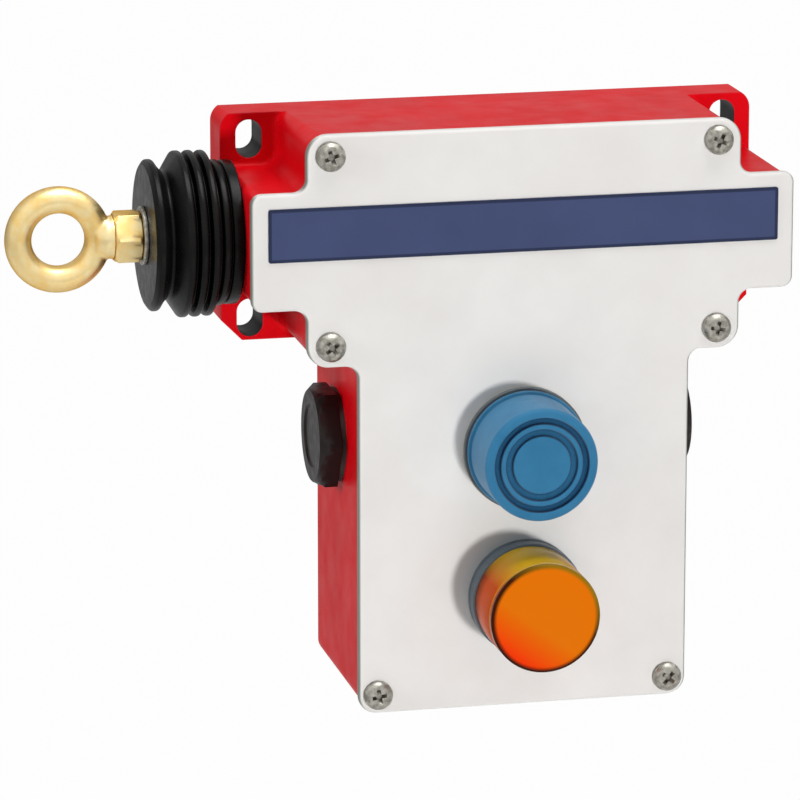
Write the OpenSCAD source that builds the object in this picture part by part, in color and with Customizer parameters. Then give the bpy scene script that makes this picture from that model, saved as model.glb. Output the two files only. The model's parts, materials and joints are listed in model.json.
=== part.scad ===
// Rope pull safety switch for a wall or machine frame.
// The rope hooks into the eye on the left and runs away to the left.
// X runs along the rope, Y points back into the wall, Z points up.
// The origin lies on the mounting plane, straight behind the rod's axis,
// midway between the two wings. Depths are counted forward from that plane.

/* [Cover plate] */
// Width across the two wings
wing_w = 150; // [144:1:158]
// Height of the wings
wing_h = 32; // [30:0.5:36]
// Width of the upper block
block_w = 120; // [116:1:124]
// Top edge of the plate above the rod axis
block_top = 31.5; // [30.5:0.5:36]
// Lower edge of the upper block below the rod axis
block_drop = 32; // [31:0.5:35]
// Width of the lower body
body_w = 92; // [88:1:98]
// Lower edge of the plate below the rod axis
body_drop = 129.5; // [126:0.5:138]
// Corner radius of the upper block
block_r = 6; // [4:0.5:8]
// Corner radius of the wings
wing_r = 3; // [1:0.5:5]
// Corner radius of the lower body
body_r = 5; // [3:0.5:7]
// Radius of the inner corners
inner_r = 3.5; // [2:0.5:4.5]
// Thickness of the cover plate
plate_t = 3; // [2:0.5:4]
// Bevel around the front edge of the cover plate
plate_bevel = 0.6; // [0.2:0.1:1]
// Thickness of the gasket
gasket_t = 1; // [0.5:0.1:2]
// Overhang of the plate past the casting
plate_lip = 0.8; // [0.4:0.1:1.2]

/* [Casting] */
// Depth of the casting
housing_d = 54; // [52:0.5:60]
// Thickness of the side walls
wall_t = 4; // [3:0.5:4.5]
// Thickness of the back wall
floor_t = 4; // [3:0.5:5]
// Width across the mounting ears
ear_w = 150; // [148:1:154]
// Thickness of the mounting ears
ear_t = 14; // [10:0.5:16]
// Top edge of the ears at the mounting plane, above the rod axis
ear_top = 29.8; // [29:0.1:32]
// Rim of the ears under the lower slots
ear_rim = 1; // [0.6:0.1:4]
// Corner radius of the ears
ear_r = 5; // [3:0.5:6]
// Slanted corner at the bottom of each ear
ear_cut = 5.8; // [3:0.2:6]
// Fillet where the casting rises out of the ears
ear_fillet = 1.5; // [0.5:0.1:2]
// Distance between the two columns of slots
slot_dx = 134; // [132:0.5:136]
// Distance between the upper and the lower slots
slot_dz = 50; // [48:0.5:51]
// Upper slots from the top edge of the ears
slot_in = 7; // [6.8:0.1:8]
// Width of the slots
slot_w = 7.2; // [5.5:0.1:7.4]
// Length of the slots
slot_l = 10.6; // [9:0.2:11]

/* [Cover screws] */
// Radius of the screw thread
screw_r = 2; // [1.5:0.25:2.5]
// Radius of the screw head
screw_head_r = 4; // [3.5:0.1:4.5]
// Height of the screw head
screw_head_h = 2.4; // [1.8:0.1:3]
// Length of the screws under the head
screw_l = 14; // [10:1:18]
// Screw centre from the side of the upper block
screw_in_x = 6.5; // [6:0.25:8]
// Screw centre from the top or bottom of the upper block
screw_in_z = 5.8; // [5.4:0.2:7]
// Screw centre from the sides of the lower body
screw_in_body = 5.3; // [4.7:0.1:6]
// Radius of the screw bosses inside the casting
boss_r = 4.6; // [4:0.2:5.5]

/* [Rod and rope eye] */
// Depth of the rod axis in front of the mounting plane
rod_depth = 27; // [26:0.5:28.5]
// Radius of the rod
rod_r = 6; // [5:0.25:6.5]
// Travel of the rod to each side
rod_travel = 6; // [4:0.5:7]
// Distance from the casting to the outer end of the rod
rod_reach = 24.2; // [22:0.1:26]
// Radius of the threaded shank of the eye
shank_r = 4; // [3:0.25:4]
// Depth of the shank's thread in the rod
shank_in = 18; // [12:1:22]
// Distance from the casting to the centre of the eye
eye_reach = 47.8; // [47:0.1:54]
// Radius of the centre line of the eye
eye_r = 10.9; // [10:0.1:13]
// Radius of the eye's round section
eye_wire_r = 3.7; // [3:0.1:4.2]
// Radius of the washer on the bellows
washer_r = 8; // [7:0.5:9]
// Thickness of the washer
washer_t = 1.2; // [0.8:0.1:2]
// Width across the flats of the lock nut
nut_flats = 13; // [12:0.5:14]
// Height of the lock nut
nut_h = 7.5; // [6:0.5:8]

/* [Bellows] */
// Number of close ribs next to the casting
rib_n = 4; // [3:1:4]
// Distance between the close ribs
rib_pitch = 3.35; // [3:0.05:3.9]
// Radius over the close ribs
rib_r = 22.6; // [20:0.2:23.4]
// Radius in the grooves between the close ribs
groove_r = 19.2; // [17:0.2:19.8]
// Radius of the flange on the casting
flange_r = 20; // [18:0.5:21]
// Thickness of the flange on the casting
flange_t = 3.1; // [2:0.1:3.5]
// Radius of the deep waist
waist_r = 17.2; // [15:0.2:18]
// Distance from the deep waist to the outer rib
waist_gap = 1.2; // [0.6:0.1:3]
// Radius over the outer rib
end_rib_r = 20.6; // [19:0.2:22]
// Thickness of the outer rib
end_rib_t = 3.8; // [3:0.2:5]
// Thickness of the rubber
rubber_t = 1.5; // [1:0.1:2]
// Radius of the spigot that holds the bellows
spigot_r = 14; // [12:0.5:14.5]
// Length of the spigot
spigot_l = 3; // [2:0.5:4]

/* [Trip mechanism] */
// Length of the cam carriage
carriage_l = 46; // [44:1:50]
// Depth of the cam carriage from front to back
carriage_d = 17; // [16:0.5:18]
// Height of the cam carriage
carriage_h = 18; // [17:0.5:19]
// Sideways distance of each contact plunger
plunger_x = 14; // [13:0.5:15]
// Radius of the contact plungers
plunger_r = 2.5; // [2:0.25:3]
// Length of the straight part of each plunger
plunger_l = 18; // [14:1:20]
// Rise of each cam ramp for one millimetre of rod travel
ramp_slope = 0.25; // [0.15:0.01:0.3]
// Width of each cam ramp
ramp_w = 16; // [14:0.5:16]
// Thickness of the cam under the carriage at the plungers
ramp_drop = 2.5; // [2.2:0.1:3]
// Radius of the cross pin in the carriage
cross_pin_r = 1.5; // [1:0.25:2]
// Thickness of the spring collars
collar_t = 2; // [1.5:0.25:3]
// Outer radius of the spring collars and bush flanges
collar_r = 9.4; // [9:0.2:10]
// Radius of the coil springs on the rod, to the wire's centre
coil_r = 7.7; // [7.6:0.1:8]
// Radius of the wire of the springs on the rod
coil_wire_r = 0.9; // [0.6:0.1:1]
// Outer radius of the guide bushes
bush_r = 8; // [7.6:0.1:8.4]
// Inner end of the left guide boss from the wing's end
left_boss_l = 12; // [10:0.5:14]
// Inner end of the right guide boss from the wing's end
right_boss_l = 22; // [20:0.5:24]

/* [Contacts and bracket] */
// Thickness of the mounting bracket
bracket_t = 2; // [1.5:0.25:2.5]
// Height of the standoffs behind the bracket
standoff_h = 6; // [4:0.5:7]
// Width of the bracket
bracket_w = 60; // [58:1:64]
// Upper edge of the bracket below the rod axis
bracket_top = 14; // [13:0.5:15]
// Lower edge of the bracket below the rod axis
bracket_drop = 52; // [51:0.5:54]
// Bracket screws from the bracket's edges
bracket_in = 4; // [4:0.25:4.5]
// Radius of the small screws
small_screw_r = 1.5; // [1.25:0.25:1.75]
// Radius of the heads of the small screws
small_head_r = 2.7; // [2.5:0.1:3]
// Height of the heads of the small screws
small_head_h = 1.8; // [1.4:0.1:2.2]
// Width of each contact block
contact_w = 16; // [15:0.5:16.5]
// Depth of each contact block from front to back
contact_d = 22.5; // [21:0.5:23]
// Top of the contact blocks below the rod axis
contact_top = 21; // [20.8:0.1:22]
// Bottom of the contact blocks below the rod axis
contact_drop = 45; // [43:0.25:45.25]
// Height of the terminal screws above the bottom of the contact blocks
terminal_up = 5; // [4:0.25:6]
// Length of the terminal screws under their heads
terminal_l = 5; // [4:0.25:5.5]

/* [Reset latch] */
// Height of the reset button below the rod axis
reset_drop = 57; // [55.5:0.5:58]
// Travel of the reset button
reset_travel = 4; // [2.5:0.25:4.5]
// Height of the latch pivot below the rod axis
pivot_drop = 36; // [35:0.5:37]
// Depth of the latch pivot in front of the mounting plane
pivot_depth = 42; // [41.5:0.25:43]
// Radius of the pivot pin
pivot_r = 1.5; // [1:0.25:2]
// Width of the latch lever
lever_w = 6; // [5:0.25:6.25]
// Thickness of the latch lever's arms
lever_t = 4; // [3:0.25:4.5]
// Radius of the latch lever's hub
hub_r = 4; // [3.5:0.25:4.5]
// Thickness of the cheeks that hold the pin
cheek_t = 1.6; // [1.2:0.1:1.8]

/* [Reset button] */
// Radius of the panel holes' barrels
barrel_r = 11; // [10:0.25:11.5]
// Radius of the collar at the boot's foot
reset_collar_r = 17; // [16.4:0.2:18]
// Thickness of the collar at the boot's foot
reset_collar_t = 1.6; // [1.2:0.1:2.5]
// Outer radius of the boot
boot_r = 15.6; // [14.5:0.1:16]
// Radius of the rounded shoulder of the boot
boot_edge_r = 2.2; // [1:0.1:2.5]
// Radius of the raised ring on the boot's front
boot_ring_r = 10.6; // [9:0.1:11.4]
// Distance from the plate to the boot's front
boot_l = 20; // [19:0.5:24]
// Thickness of the boot's rubber
boot_t = 1.6; // [1.2:0.1:1.8]
// Radius of the button's core
core_r = 8; // [7.5:0.25:8.5]
// Radius of the button's stem
stem_r = 3; // [2.5:0.25:3.5]
// Length of the barrel in front of the plate
barrel_front = 10; // [9:0.5:11]
// Length of the barrel behind the plate
barrel_back = 5; // [4.6:0.1:5.4]
// Thickness of the barrel's floor
barrel_floor = 2; // [1.5:0.25:3]
// Outer radius of the panel nuts
panel_nut_r = 14.5; // [13.5:0.25:15]
// Thickness of the panel nuts
panel_nut_t = 4.5; // [3:0.25:5]

/* [Pilot light] */
// Height of the pilot light below the rod axis
pilot_drop = 98.2; // [95:0.1:100]
// Radius of the pilot light's bezel
bezel_r = 15.6; // [15:0.1:17]
// Length of the bezel in front of the plate
bezel_l = 9; // [7:0.5:11]
// Radius of the lens
lens_r = 15.1; // [14:0.1:15.4]
// Distance from the plate to the front of the lens
lens_front = 25; // [23:0.5:28]
// Thickness of the lens
lens_t = 1.6; // [1.2:0.1:2.5]
// Radius of the rounded edge of the lens
lens_edge_r = 1.5; // [0.8:0.1:2]
// Radius of the lamp
lamp_r = 4.6; // [4:0.2:5.5]
// Distance from the plate to the lamp's tip
lamp_front = 18; // [15:0.5:20]
// Length of the lamp holder behind the plate
holder_l = 31; // [28:1:34]
// Distance of the holder's terminal tabs from its middle
tab_x = 5.5; // [4:0.5:7]
// Width of the terminal tabs
tab_w = 6.3; // [4.8:0.1:6.3]
// Thickness of the terminal tabs
tab_t = 0.8; // [0.5:0.1:1]
// Length of the terminal tabs
tab_l = 7; // [5:0.5:8]

/* [Cable entries] */
// Radius of the tapped cable entries
entry_r = 9.2; // [8:0.1:9.6]
// Radius of the bosses around the cable entries
entry_boss_r = 13; // [12:0.25:13.5]
// Length of the thread in the cable entries
entry_l = 9; // [7:0.5:10]
// Depth of the side entries in front of the mounting plane
side_entry_depth = 26; // [24:0.5:28]
// Height of the side entries below the rod axis
side_entry_drop = 58.5; // [57:0.5:64]
// Width across the flats of the blanking plugs
plug_flats = 26; // [23:0.2:27]
// Height of the head of the blanking plugs
plug_head_h = 6; // [5:0.25:7]
// Thickness of the plugs' seals
seal_t = 1.4; // [1:0.1:2]
// Depth of the bottom entry in front of the mounting plane
bottom_entry_depth = 27; // [24:0.5:30]

// Earth screw from the side of the lower body
earth_in_x = 15.5; // [13:0.5:18]
// Earth screw from the bottom of the lower body
earth_in_z = 16.5; // [15:0.5:20]

/* [Label strip] */
// Width of the strip
strip_w = 140.8; // [130:0.2:141]
// Top edge of the strip above the rod axis
strip_top = 12; // [10:0.5:13]
// Bottom edge of the strip below the rod axis
strip_drop = 2.5; // [1:0.5:5]
// Thickness of the strip
strip_t = 0.4; // [0.2:0.1:0.6]

/* [Clearances] */
// Radial clearance of a part that slides or turns in a bore
run_gap = 0.05; // [0.02:0.01:0.08]
// Radial clearance of a screw or plug in its thread
thread_gap = 0.05; // [0.02:0.01:0.08]
// Radial clearance of a part in a panel hole
panel_gap = 0.25; // [0.1:0.05:0.4]
// Clearance round the flange of the bellows in its seat
seat_gap = 0.6; // [0.3:0.1:1]
// Gap between working faces that meet when the switch trips
work_gap = 0.4; // [0.3:0.05:0.5]

/* [Hidden] */
$fn = 48;
eps = 1;

// Places along the depth, counted forward from the mounting plane
cover_back = housing_d + gasket_t;
cover_front = cover_back + plate_t;
bracket_back = floor_t + standoff_h;
bracket_front = bracket_back + bracket_t;
contact_front = bracket_front + contact_d;
carriage_front = rod_depth + carriage_d / 2;

// Places along the rod
wall_x = wing_w / 2 - plate_lip;
left_boss_x = wall_x - left_boss_l;
right_boss_x = wall_x - right_boss_l;
rod_end_x = wall_x - wall_t - run_gap - rod_travel - collar_t / 2;
collar_x = carriage_l / 2;
washer_u = rod_reach + washer_t;
nut_u = washer_u + nut_h;

// Places below the rod axis
ear_drop = slot_dz - ear_top + slot_in + slot_l / 2 + ear_rim;
cam_top = carriage_h / 2;
cam_low = cam_top + ramp_drop;
plunger_top = cam_low + (plunger_r + work_gap) * sqrt(1 + ramp_slope * ramp_slope);
tip_front = pivot_depth + lever_t / 2 + work_gap;

screw_places = [
    for (s = [-1, 1]) [s * (block_w / 2 - screw_in_x), block_top - screw_in_z],
    for (s = [-1, 1]) [s * (block_w / 2 - screw_in_x), -(block_drop - screw_in_z)],
    for (s = [-1, 1]) [s * (body_w / 2 - screw_in_body), -(body_drop - screw_in_body)]];
bracket_places = [
    for (s = [-1, 1]) [s * (bracket_w / 2 - bracket_in), -(bracket_top + bracket_in)],
    for (s = [-1, 1]) [s * (bracket_w / 2 - bracket_in), -(bracket_drop - bracket_in)]];
slot_top = ear_top - slot_in;
slot_places = [for (s = [-1, 1], z = [slot_top, slot_top - slot_dz]) [s * slot_dx / 2, z]];
earth_place = [-body_w / 2 + earth_in_x, -body_drop + earth_in_z];
earth_boss_r = 5;
earth_boss_h = 5;

// ---------------------------------------------------------------- helpers

// Raises a flat drawing of X and Z from one depth to another.
module layer(from, to) {
    translate([0, -from, 0]) rotate([90, 0, 0]) linear_extrude(to - from) children();
}

// Round bar along the depth, at one place of X and Z.
module bar(place, from, to, r) {
    translate([place[0], -from, place[1]]) rotate([90, 0, 0]) cylinder(h = to - from, r = r);
}

// Hexagonal bar along the depth with a corner on top.
module hex_bar(place, from, to, r) {
    translate([place[0], -from, place[1]]) rotate([90, 0, 0]) rotate(30) cylinder(h = to - from, r = r, $fn = 6);
}

// Turns a solid made round Z so that it points forward from one depth.
module facing(place, from) {
    translate([place[0], -from, place[1]]) rotate([90, 0, 0]) children();
}

// Round bar along the rod's axis, from one X to another.
module rod_bar(from, to, r) {
    translate([from, -rod_depth, 0]) rotate([0, 90, 0]) cylinder(h = to - from, r = r);
}

// Puts a solid made round Z on the rod's axis, pointing left out of the casting.
module outward() {
    translate([-wall_x, -rod_depth, 0]) rotate([0, -90, 0]) children();
}

// Rectangle with rounded corners between two corners.
module round_rect(x0, z0, x1, z1, r) {
    translate([x0 + r, z0]) square([x1 - x0 - 2 * r, z1 - z0]);
    translate([x0, z0 + r]) square([x1 - x0, z1 - z0 - 2 * r]);
    for (x = [x0 + r, x1 - r], z = [z0 + r, z1 - r]) translate([x, z]) circle(r);
}

// Rounded inner corner at a place; sx and sz point into the open quarter.
module inner_corner(x, z, sx, sz, r) {
    translate([x, z]) mirror([sx < 0 ? 1 : 0, 0]) mirror([0, sz < 0 ? 1 : 0])
        difference() {
            translate([-0.01, -0.01]) square(r + 0.01);
            translate([r, r]) circle(r);
        }
}

// Outline of the cover plate, made larger or smaller all round.
module plate_outline(grow = 0) {
    hb = block_w / 2 + grow;
    hw = wing_w / 2 + grow;
    hl = body_w / 2 + grow;
    wz = wing_h / 2 + grow;
    rc = inner_r - grow;
    round_rect(-hb, -block_drop - grow, hb, block_top + grow, max(block_r + grow, 0.5));
    round_rect(-hw, -wz, hw, wz, max(wing_r + grow, 0.5));
    round_rect(-hl, -body_drop - grow, hl, 0, max(body_r + grow, 0.5));
    for (s = [-1, 1]) {
        inner_corner(s * hb, wz, s, 1, rc);
        inner_corner(s * hb, -wz, s, -1, rc);
        inner_corner(s * hl, -block_drop - grow, s, -1, rc);
    }
}

// Hollow of the casting, with the screw bosses left standing.
module cavity_outline() {
    difference() {
        plate_outline(-plate_lip - wall_t);
        for (p = screw_places) translate(p) circle(boss_r);
    }
}

// Outline of the thick back with its mounting ears.
module ear_outline() {
    hw = ear_w / 2;
    hl = body_w / 2 - plate_lip;
    difference() {
        round_rect(-hw, -ear_drop, hw, block_top - plate_lip, ear_r);
        for (s = [-1, 1]) polygon([
            [s * (hw + eps), -ear_drop + ear_cut + eps],
            [s * (hw + eps), -ear_drop - eps],
            [s * (hw - ear_cut - eps), -ear_drop - eps]]);
    }
    for (s = [-1, 1]) inner_corner(s * hl, -ear_drop, s, -1, inner_r + plate_lip);
}

// Upright slot with round ends.
module slot_outline(place) {
    d = slot_l / 2 - slot_w / 2;
    translate(place) {
        for (z = [-d, d]) translate([0, z]) circle(slot_w / 2);
        square([slot_w, 2 * d], center = true);
    }
}

// Section of a fillet; both legs reach a little way into what they join.
module fillet_section() {
    r = ear_fillet;
    difference() {
        translate([-0.2, -0.2]) square(r + 0.2);
        translate([r, r]) circle(r, $fn = 24);
    }
}

// Straight fillet along X on a wall that faces up (1) or down (-1).
module fillet_along_x(x0, x1, z, t) {
    translate([x0, -ear_t, z]) mirror([0, 0, t < 0 ? 1 : 0]) mirror([0, 1, 0]) rotate([90, 0, 90])
        linear_extrude(x1 - x0) fillet_section();
}

// Fillet round an upright corner of radius r; sx and sz point from its centre to the corner.
module fillet_turn(x, z, sx, sz, r, hollow) {
    facing([x, z], ear_t) mirror([sx < 0 ? 1 : 0, 0, 0]) mirror([0, sz < 0 ? 1 : 0, 0])
        rotate_extrude(angle = 90, $fn = 32) translate([r, 0]) mirror([hollow ? 1 : 0, 0]) fillet_section();
}

// Fillets between the ears and the casting that rises out of them.
module ear_fillets() {
    hb = block_w / 2 - plate_lip;
    hl = body_w / 2 - plate_lip;
    wz = wing_h / 2 - plate_lip;
    bt = block_top - plate_lip;
    bd = block_drop - plate_lip;
    rc = inner_r + plate_lip;
    rb = block_r - plate_lip;
    rw = wing_r - plate_lip;
    intersection() {
        for (s = [-1, 1]) mirror([s < 0 ? 1 : 0, 0, 0]) {
            for (span = [[wz + rc, bt - rb], [-bd + rb, -wz - rc]])
                translate([hb, -ear_t, span[0]]) mirror([0, 1, 0]) linear_extrude(span[1] - span[0]) fillet_section();
            for (t = [-1, 1]) {
                fillet_turn(hb + rc, t * (wz + rc), -1, -t, rc, true);
                fillet_along_x(hb + rc, wall_x - rw, t * wz, t);
                fillet_turn(wall_x - rw, t * (wz - rw), 1, t, rw, false);
            }
            fillet_turn(hb - rb, bt - rb, 1, 1, rb, false);
            fillet_turn(hb - rb, -bd + rb, 1, -1, rb, false);
            fillet_along_x(hl + rc, hb - rb, -bd, -1);
            fillet_turn(hl + rc, -bd - rc, -1, 1, rc, true);
        }
        layer(ear_t - 0.2, ear_t + ear_fillet + eps) ear_outline();
    }
}

// Space above the casting, whose top slopes from the cover down to the mounting plane.
module above_top() {
    front = block_top - plate_lip;
    high = max(front, ear_top) + eps;
    translate([-ear_w / 2 - eps, 0, 0]) rotate([90, 0, 90]) linear_extrude(ear_w + 2 * eps)
        polygon([[eps, ear_top], [0, ear_top], [-housing_d, front], [-housing_d, high + eps], [eps, high + eps]]);
}

// Square-ended coil spring round Z, swept as a chain of rings.
module coil(r, wire, h, turns, steps = 14, sides = 8) {
    n = turns * steps;
    rise = (h - 2 * wire) / n;
    rings = [for (i = [0 : n], j = [0 : sides - 1])
        let (a = 360 * i / steps, b = 360 * j / sides, q = r + wire * cos(b))
        [q * cos(a), q * sin(a), wire + rise * i + wire * sin(b)]];
    skin = [for (i = [0 : n - 1], j = [0 : sides - 1])
        let (k = (j + 1) % sides)
        [i * sides + j, (i + 1) * sides + j, (i + 1) * sides + k, i * sides + k]];
    first = [for (j = [0 : sides - 1]) j];
    last = [for (j = [sides - 1 : -1 : 0]) n * sides + j];
    polyhedron(rings, concat(skin, [first, last]), convexity = 10);
}

// Cross-recessed pan head screw that points back from a face.
module pan_screw(place, face, r, head_r, head_h, length) {
    slot_d = head_h * 0.55;
    difference() {
        union() {
            bar(place, face - length, face, r);
            facing(place, face) rotate_extrude() difference() {
                square([head_r, head_h]);
                translate([head_r - head_h * 0.45, head_h - head_h * 0.45]) difference() {
                    square(head_h);
                    circle(head_h * 0.45);
                }
            }
        }
        for (a = [45, 135]) facing(place, face + head_h - slot_d) rotate(a)
            translate([-head_r * 0.6, -head_r * 0.12, 0]) cube([head_r * 1.2, head_r * 0.24, head_h]);
    }
}

// Ring nut with six flats behind the cover plate.
module panel_nut(drop) {
    difference() {
        hex_bar([0, -drop], cover_back - panel_nut_t, cover_back, panel_nut_r);
        bar([0, -drop], cover_back - panel_nut_t - eps, cover_back + eps, barrel_r + thread_gap);
    }
}

// ------------------------------------------------------- casting and cover

module housing() color("crimson") {
    difference() {
        union() {
            difference() {
                union() {
                    layer(0, housing_d) plate_outline(-plate_lip);
                    layer(0, ear_t) ear_outline();
                    ear_fillets();
                }
                layer(floor_t, housing_d + eps) cavity_outline();
                above_top();
                rod_bar(-ear_w / 2 - eps, -wall_x, flange_r + seat_gap);
            }
            for (p = bracket_places) bar(p, floor_t - eps, bracket_back, 4.2);
            bar(earth_place, floor_t - eps, floor_t + earth_boss_h, earth_boss_r);
            rod_bar(-wall_x - spigot_l, -left_boss_x, bush_r + 2.6);
            rod_bar(-wall_x - spigot_l, -wall_x + eps, spigot_r);
            rod_bar(right_boss_x, wall_x - eps, bush_r + 2.6);
            for (s = [-1, 1]) side_entry_boss(s);
            translate([0, -bottom_entry_depth, -body_drop + plate_lip]) cylinder(h = entry_l, r = entry_boss_r);
        }
        layer(-eps, ear_t + ear_fillet + eps) for (p = slot_places) slot_outline(p);
        for (p = screw_places) bar(p, housing_d - screw_l, housing_d + eps, screw_r + thread_gap);
        for (p = bracket_places) bar(p, floor_t - 2, bracket_back + eps, small_screw_r + thread_gap);
        bar(earth_place, floor_t - 1, floor_t + earth_boss_h + eps, screw_r + thread_gap);
        rod_bar(-wall_x - spigot_l - eps, -left_boss_x + eps, bush_r + thread_gap);
        rod_bar(right_boss_x - eps, wall_x - wall_t, bush_r + thread_gap);
        for (s = [-1, 1]) side_entry(s);
        translate([0, -bottom_entry_depth, -body_drop + plate_lip - eps]) cylinder(h = entry_l + 2 * eps, r = entry_r);
    }
}

// Boss round a side cable entry, on the left (-1) or the right (1).
module side_entry_boss(s) {
    outer = body_w / 2 - plate_lip;
    translate([s > 0 ? outer - entry_l : -outer, -side_entry_depth, -side_entry_drop]) rotate([0, 90, 0])
        cylinder(h = entry_l, r = entry_boss_r);
}

// Tapped hole of a side cable entry.
module side_entry(s) {
    outer = body_w / 2 - plate_lip;
    translate([s > 0 ? outer - entry_l - eps : -outer - eps, -side_entry_depth, -side_entry_drop]) rotate([0, 90, 0])
        cylinder(h = entry_l + 2 * eps, r = entry_r);
}

module cover_gasket() color("dimgray") {
    layer(housing_d, cover_back) difference() {
        plate_outline(-plate_lip);
        cavity_outline();
        for (p = screw_places) translate(p) circle(screw_r + panel_gap);
    }
}

module front_cover() color("gainsboro") {
    difference() {
        union() {
            layer(cover_back, cover_front - plate_bevel) plate_outline();
            layer(cover_front - plate_bevel, cover_front - plate_bevel / 2) plate_outline(-plate_bevel * 0.3);
            layer(cover_front - plate_bevel / 2, cover_front) plate_outline(-plate_bevel);
        }
        for (p = screw_places) bar(p, cover_back - eps, cover_front + eps, screw_r + panel_gap);
        for (d = [reset_drop, pilot_drop]) bar([0, -d], cover_back - eps, cover_front + eps, barrel_r + panel_gap);
    }
}

module label_strip() color("darkslateblue") {
    layer(cover_front, cover_front + strip_t) round_rect(-strip_w / 2, -strip_drop, strip_w / 2, strip_top, 0.6);
}

module cover_screws() color("silver") {
    for (p = screw_places) pan_screw(p, cover_front, screw_r, screw_head_r, screw_head_h, screw_l);
}

// ------------------------------------------------------------ rod and eye

// Outer edge of the bellows as [radius, distance from the casting].
function bellows_edge(t) = concat(
    [[flange_r - t, 0], [flange_r - t, flange_t - t]],
    [for (i = [0 : rib_n - 1]) let (u = flange_t + rib_pitch * (i + 0.5))
        each [[groove_r - t, u - rib_pitch * 0.4], [rib_r - t, u - 0.5], [rib_r - t, u + 0.5]]],
    let (u = rod_reach - end_rib_t)
    [[waist_r - t, u - waist_gap], [end_rib_r - t - 1.6, u + 0.4 + t / 4], [end_rib_r - t - 0.3, u + 1.3 + t / 4],
        [end_rib_r - t, rod_reach - 1.3 - t / 2], [end_rib_r - 0.4 - t, rod_reach - 0.5 - t / 2],
        [end_rib_r - 1.2 - t, rod_reach - t]]);

module bellows() color("black") {
    outward() rotate_extrude() difference() {
        polygon(concat([[spigot_r, 0]], bellows_edge(0), [[rod_r + run_gap, rod_reach]],
            [[rod_r + run_gap, rod_reach - rubber_t]], [[spigot_r, rod_reach - rubber_t]]));
        polygon(concat([[0, flange_t - rubber_t]],
            [for (p = bellows_edge(rubber_t)) if (p[1] >= flange_t - rubber_t) p], [[0, rod_reach - rubber_t]]));
    }
}

module pull_rod() color("lightsteelblue") {
    difference() {
        rod_bar(-wall_x - rod_reach, rod_end_x, rod_r);
        rod_bar(-wall_x - rod_reach - eps, -wall_x - rod_reach + shank_in + 2, shank_r + thread_gap);
        bar([0, 0], rod_depth - rod_r - eps, rod_depth + rod_r + eps, cross_pin_r + thread_gap);
    }
}

module eyebolt() color("goldenrod") {
    outward() {
        translate([0, 0, rod_reach - shank_in]) cylinder(h = eye_reach - eye_r - rod_reach + shank_in, r = shank_r);
        translate([0, 0, nut_u]) cylinder(h = eye_reach - eye_r - nut_u, r1 = nut_flats / 2 - 0.4, r2 = eye_wire_r + 0.6);
        translate([0, 0, eye_reach]) rotate([90, 0, 90]) rotate([0, 90, 0]) rotate_extrude()
            translate([eye_r, 0]) circle(eye_wire_r);
    }
}

module lock_nut() color("goldenrod") {
    outward() difference() {
        translate([0, 0, washer_u]) cylinder(h = nut_h, r = nut_flats / sqrt(3), $fn = 6);
        translate([0, 0, washer_u - eps]) cylinder(h = nut_h + 2 * eps, r = shank_r + thread_gap);
    }
}

module rod_washer() color("silver") {
    outward() difference() {
        translate([0, 0, rod_reach]) cylinder(h = washer_t, r = washer_r);
        translate([0, 0, rod_reach - eps]) cylinder(h = washer_t + 2 * eps, r = shank_r + thread_gap);
    }
}

module left_guide_bush() color("peru") {
    difference() {
        union() {
            rod_bar(-wall_x - spigot_l, -left_boss_x, bush_r);
            rod_bar(-left_boss_x, -left_boss_x + collar_t, collar_r);
        }
        rod_bar(-wall_x - spigot_l - eps, -left_boss_x + collar_t + eps, rod_r + run_gap);
    }
}

module right_guide_bush() color("peru") {
    difference() {
        union() {
            rod_bar(right_boss_x, wall_x - wall_t, bush_r);
            rod_bar(right_boss_x - collar_t, right_boss_x, collar_r);
        }
        rod_bar(right_boss_x - collar_t - eps, wall_x - wall_t + eps, rod_r + run_gap);
    }
}

// ---------------------------------------------------------- trip mechanism

module cam_carriage() color("darkorange") {
    outer = plunger_x + ramp_w / 2;
    inner = plunger_x - ramp_w / 2;
    rise = ramp_slope * ramp_w / 2;
    difference() {
        union() {
            translate([-carriage_l / 2, -carriage_front, -cam_top]) cube([carriage_l, carriage_d, carriage_h]);
            layer(rod_depth - carriage_d / 2, carriage_front) polygon([
                [-outer, -cam_top + eps], [-outer, -cam_low + rise], [-inner, -cam_low - rise],
                [inner, -cam_low - rise], [outer, -cam_low + rise], [outer, -cam_top + eps]]);
        }
        rod_bar(-carriage_l / 2 - eps, carriage_l / 2 + eps, rod_r + thread_gap);
        bar([0, 0], rod_depth - carriage_d / 2 - eps, carriage_front + eps, cross_pin_r + thread_gap);
    }
}

module carriage_pin() color("silver") {
    bar([0, 0], rod_depth - carriage_d / 2, carriage_front, cross_pin_r);
}

module spring_collars() color("silver") {
    for (x = [-collar_x - collar_t, collar_x]) difference() {
        rod_bar(x, x + collar_t, collar_r);
        rod_bar(x - eps, x + collar_t + eps, rod_r + thread_gap);
    }
}

// Coil spring on the rod between two places.
module rod_spring(from, to, turns) {
    translate([from, -rod_depth, 0]) rotate([0, 90, 0]) coil(coil_r, coil_wire_r, to - from, turns);
}

module tension_spring() color("lightgray") {
    rod_spring(-left_boss_x + collar_t, -collar_x - collar_t, 8);
}

module slack_spring() color("lightgray") {
    rod_spring(collar_x + collar_t, right_boss_x - collar_t, 6);
}

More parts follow.
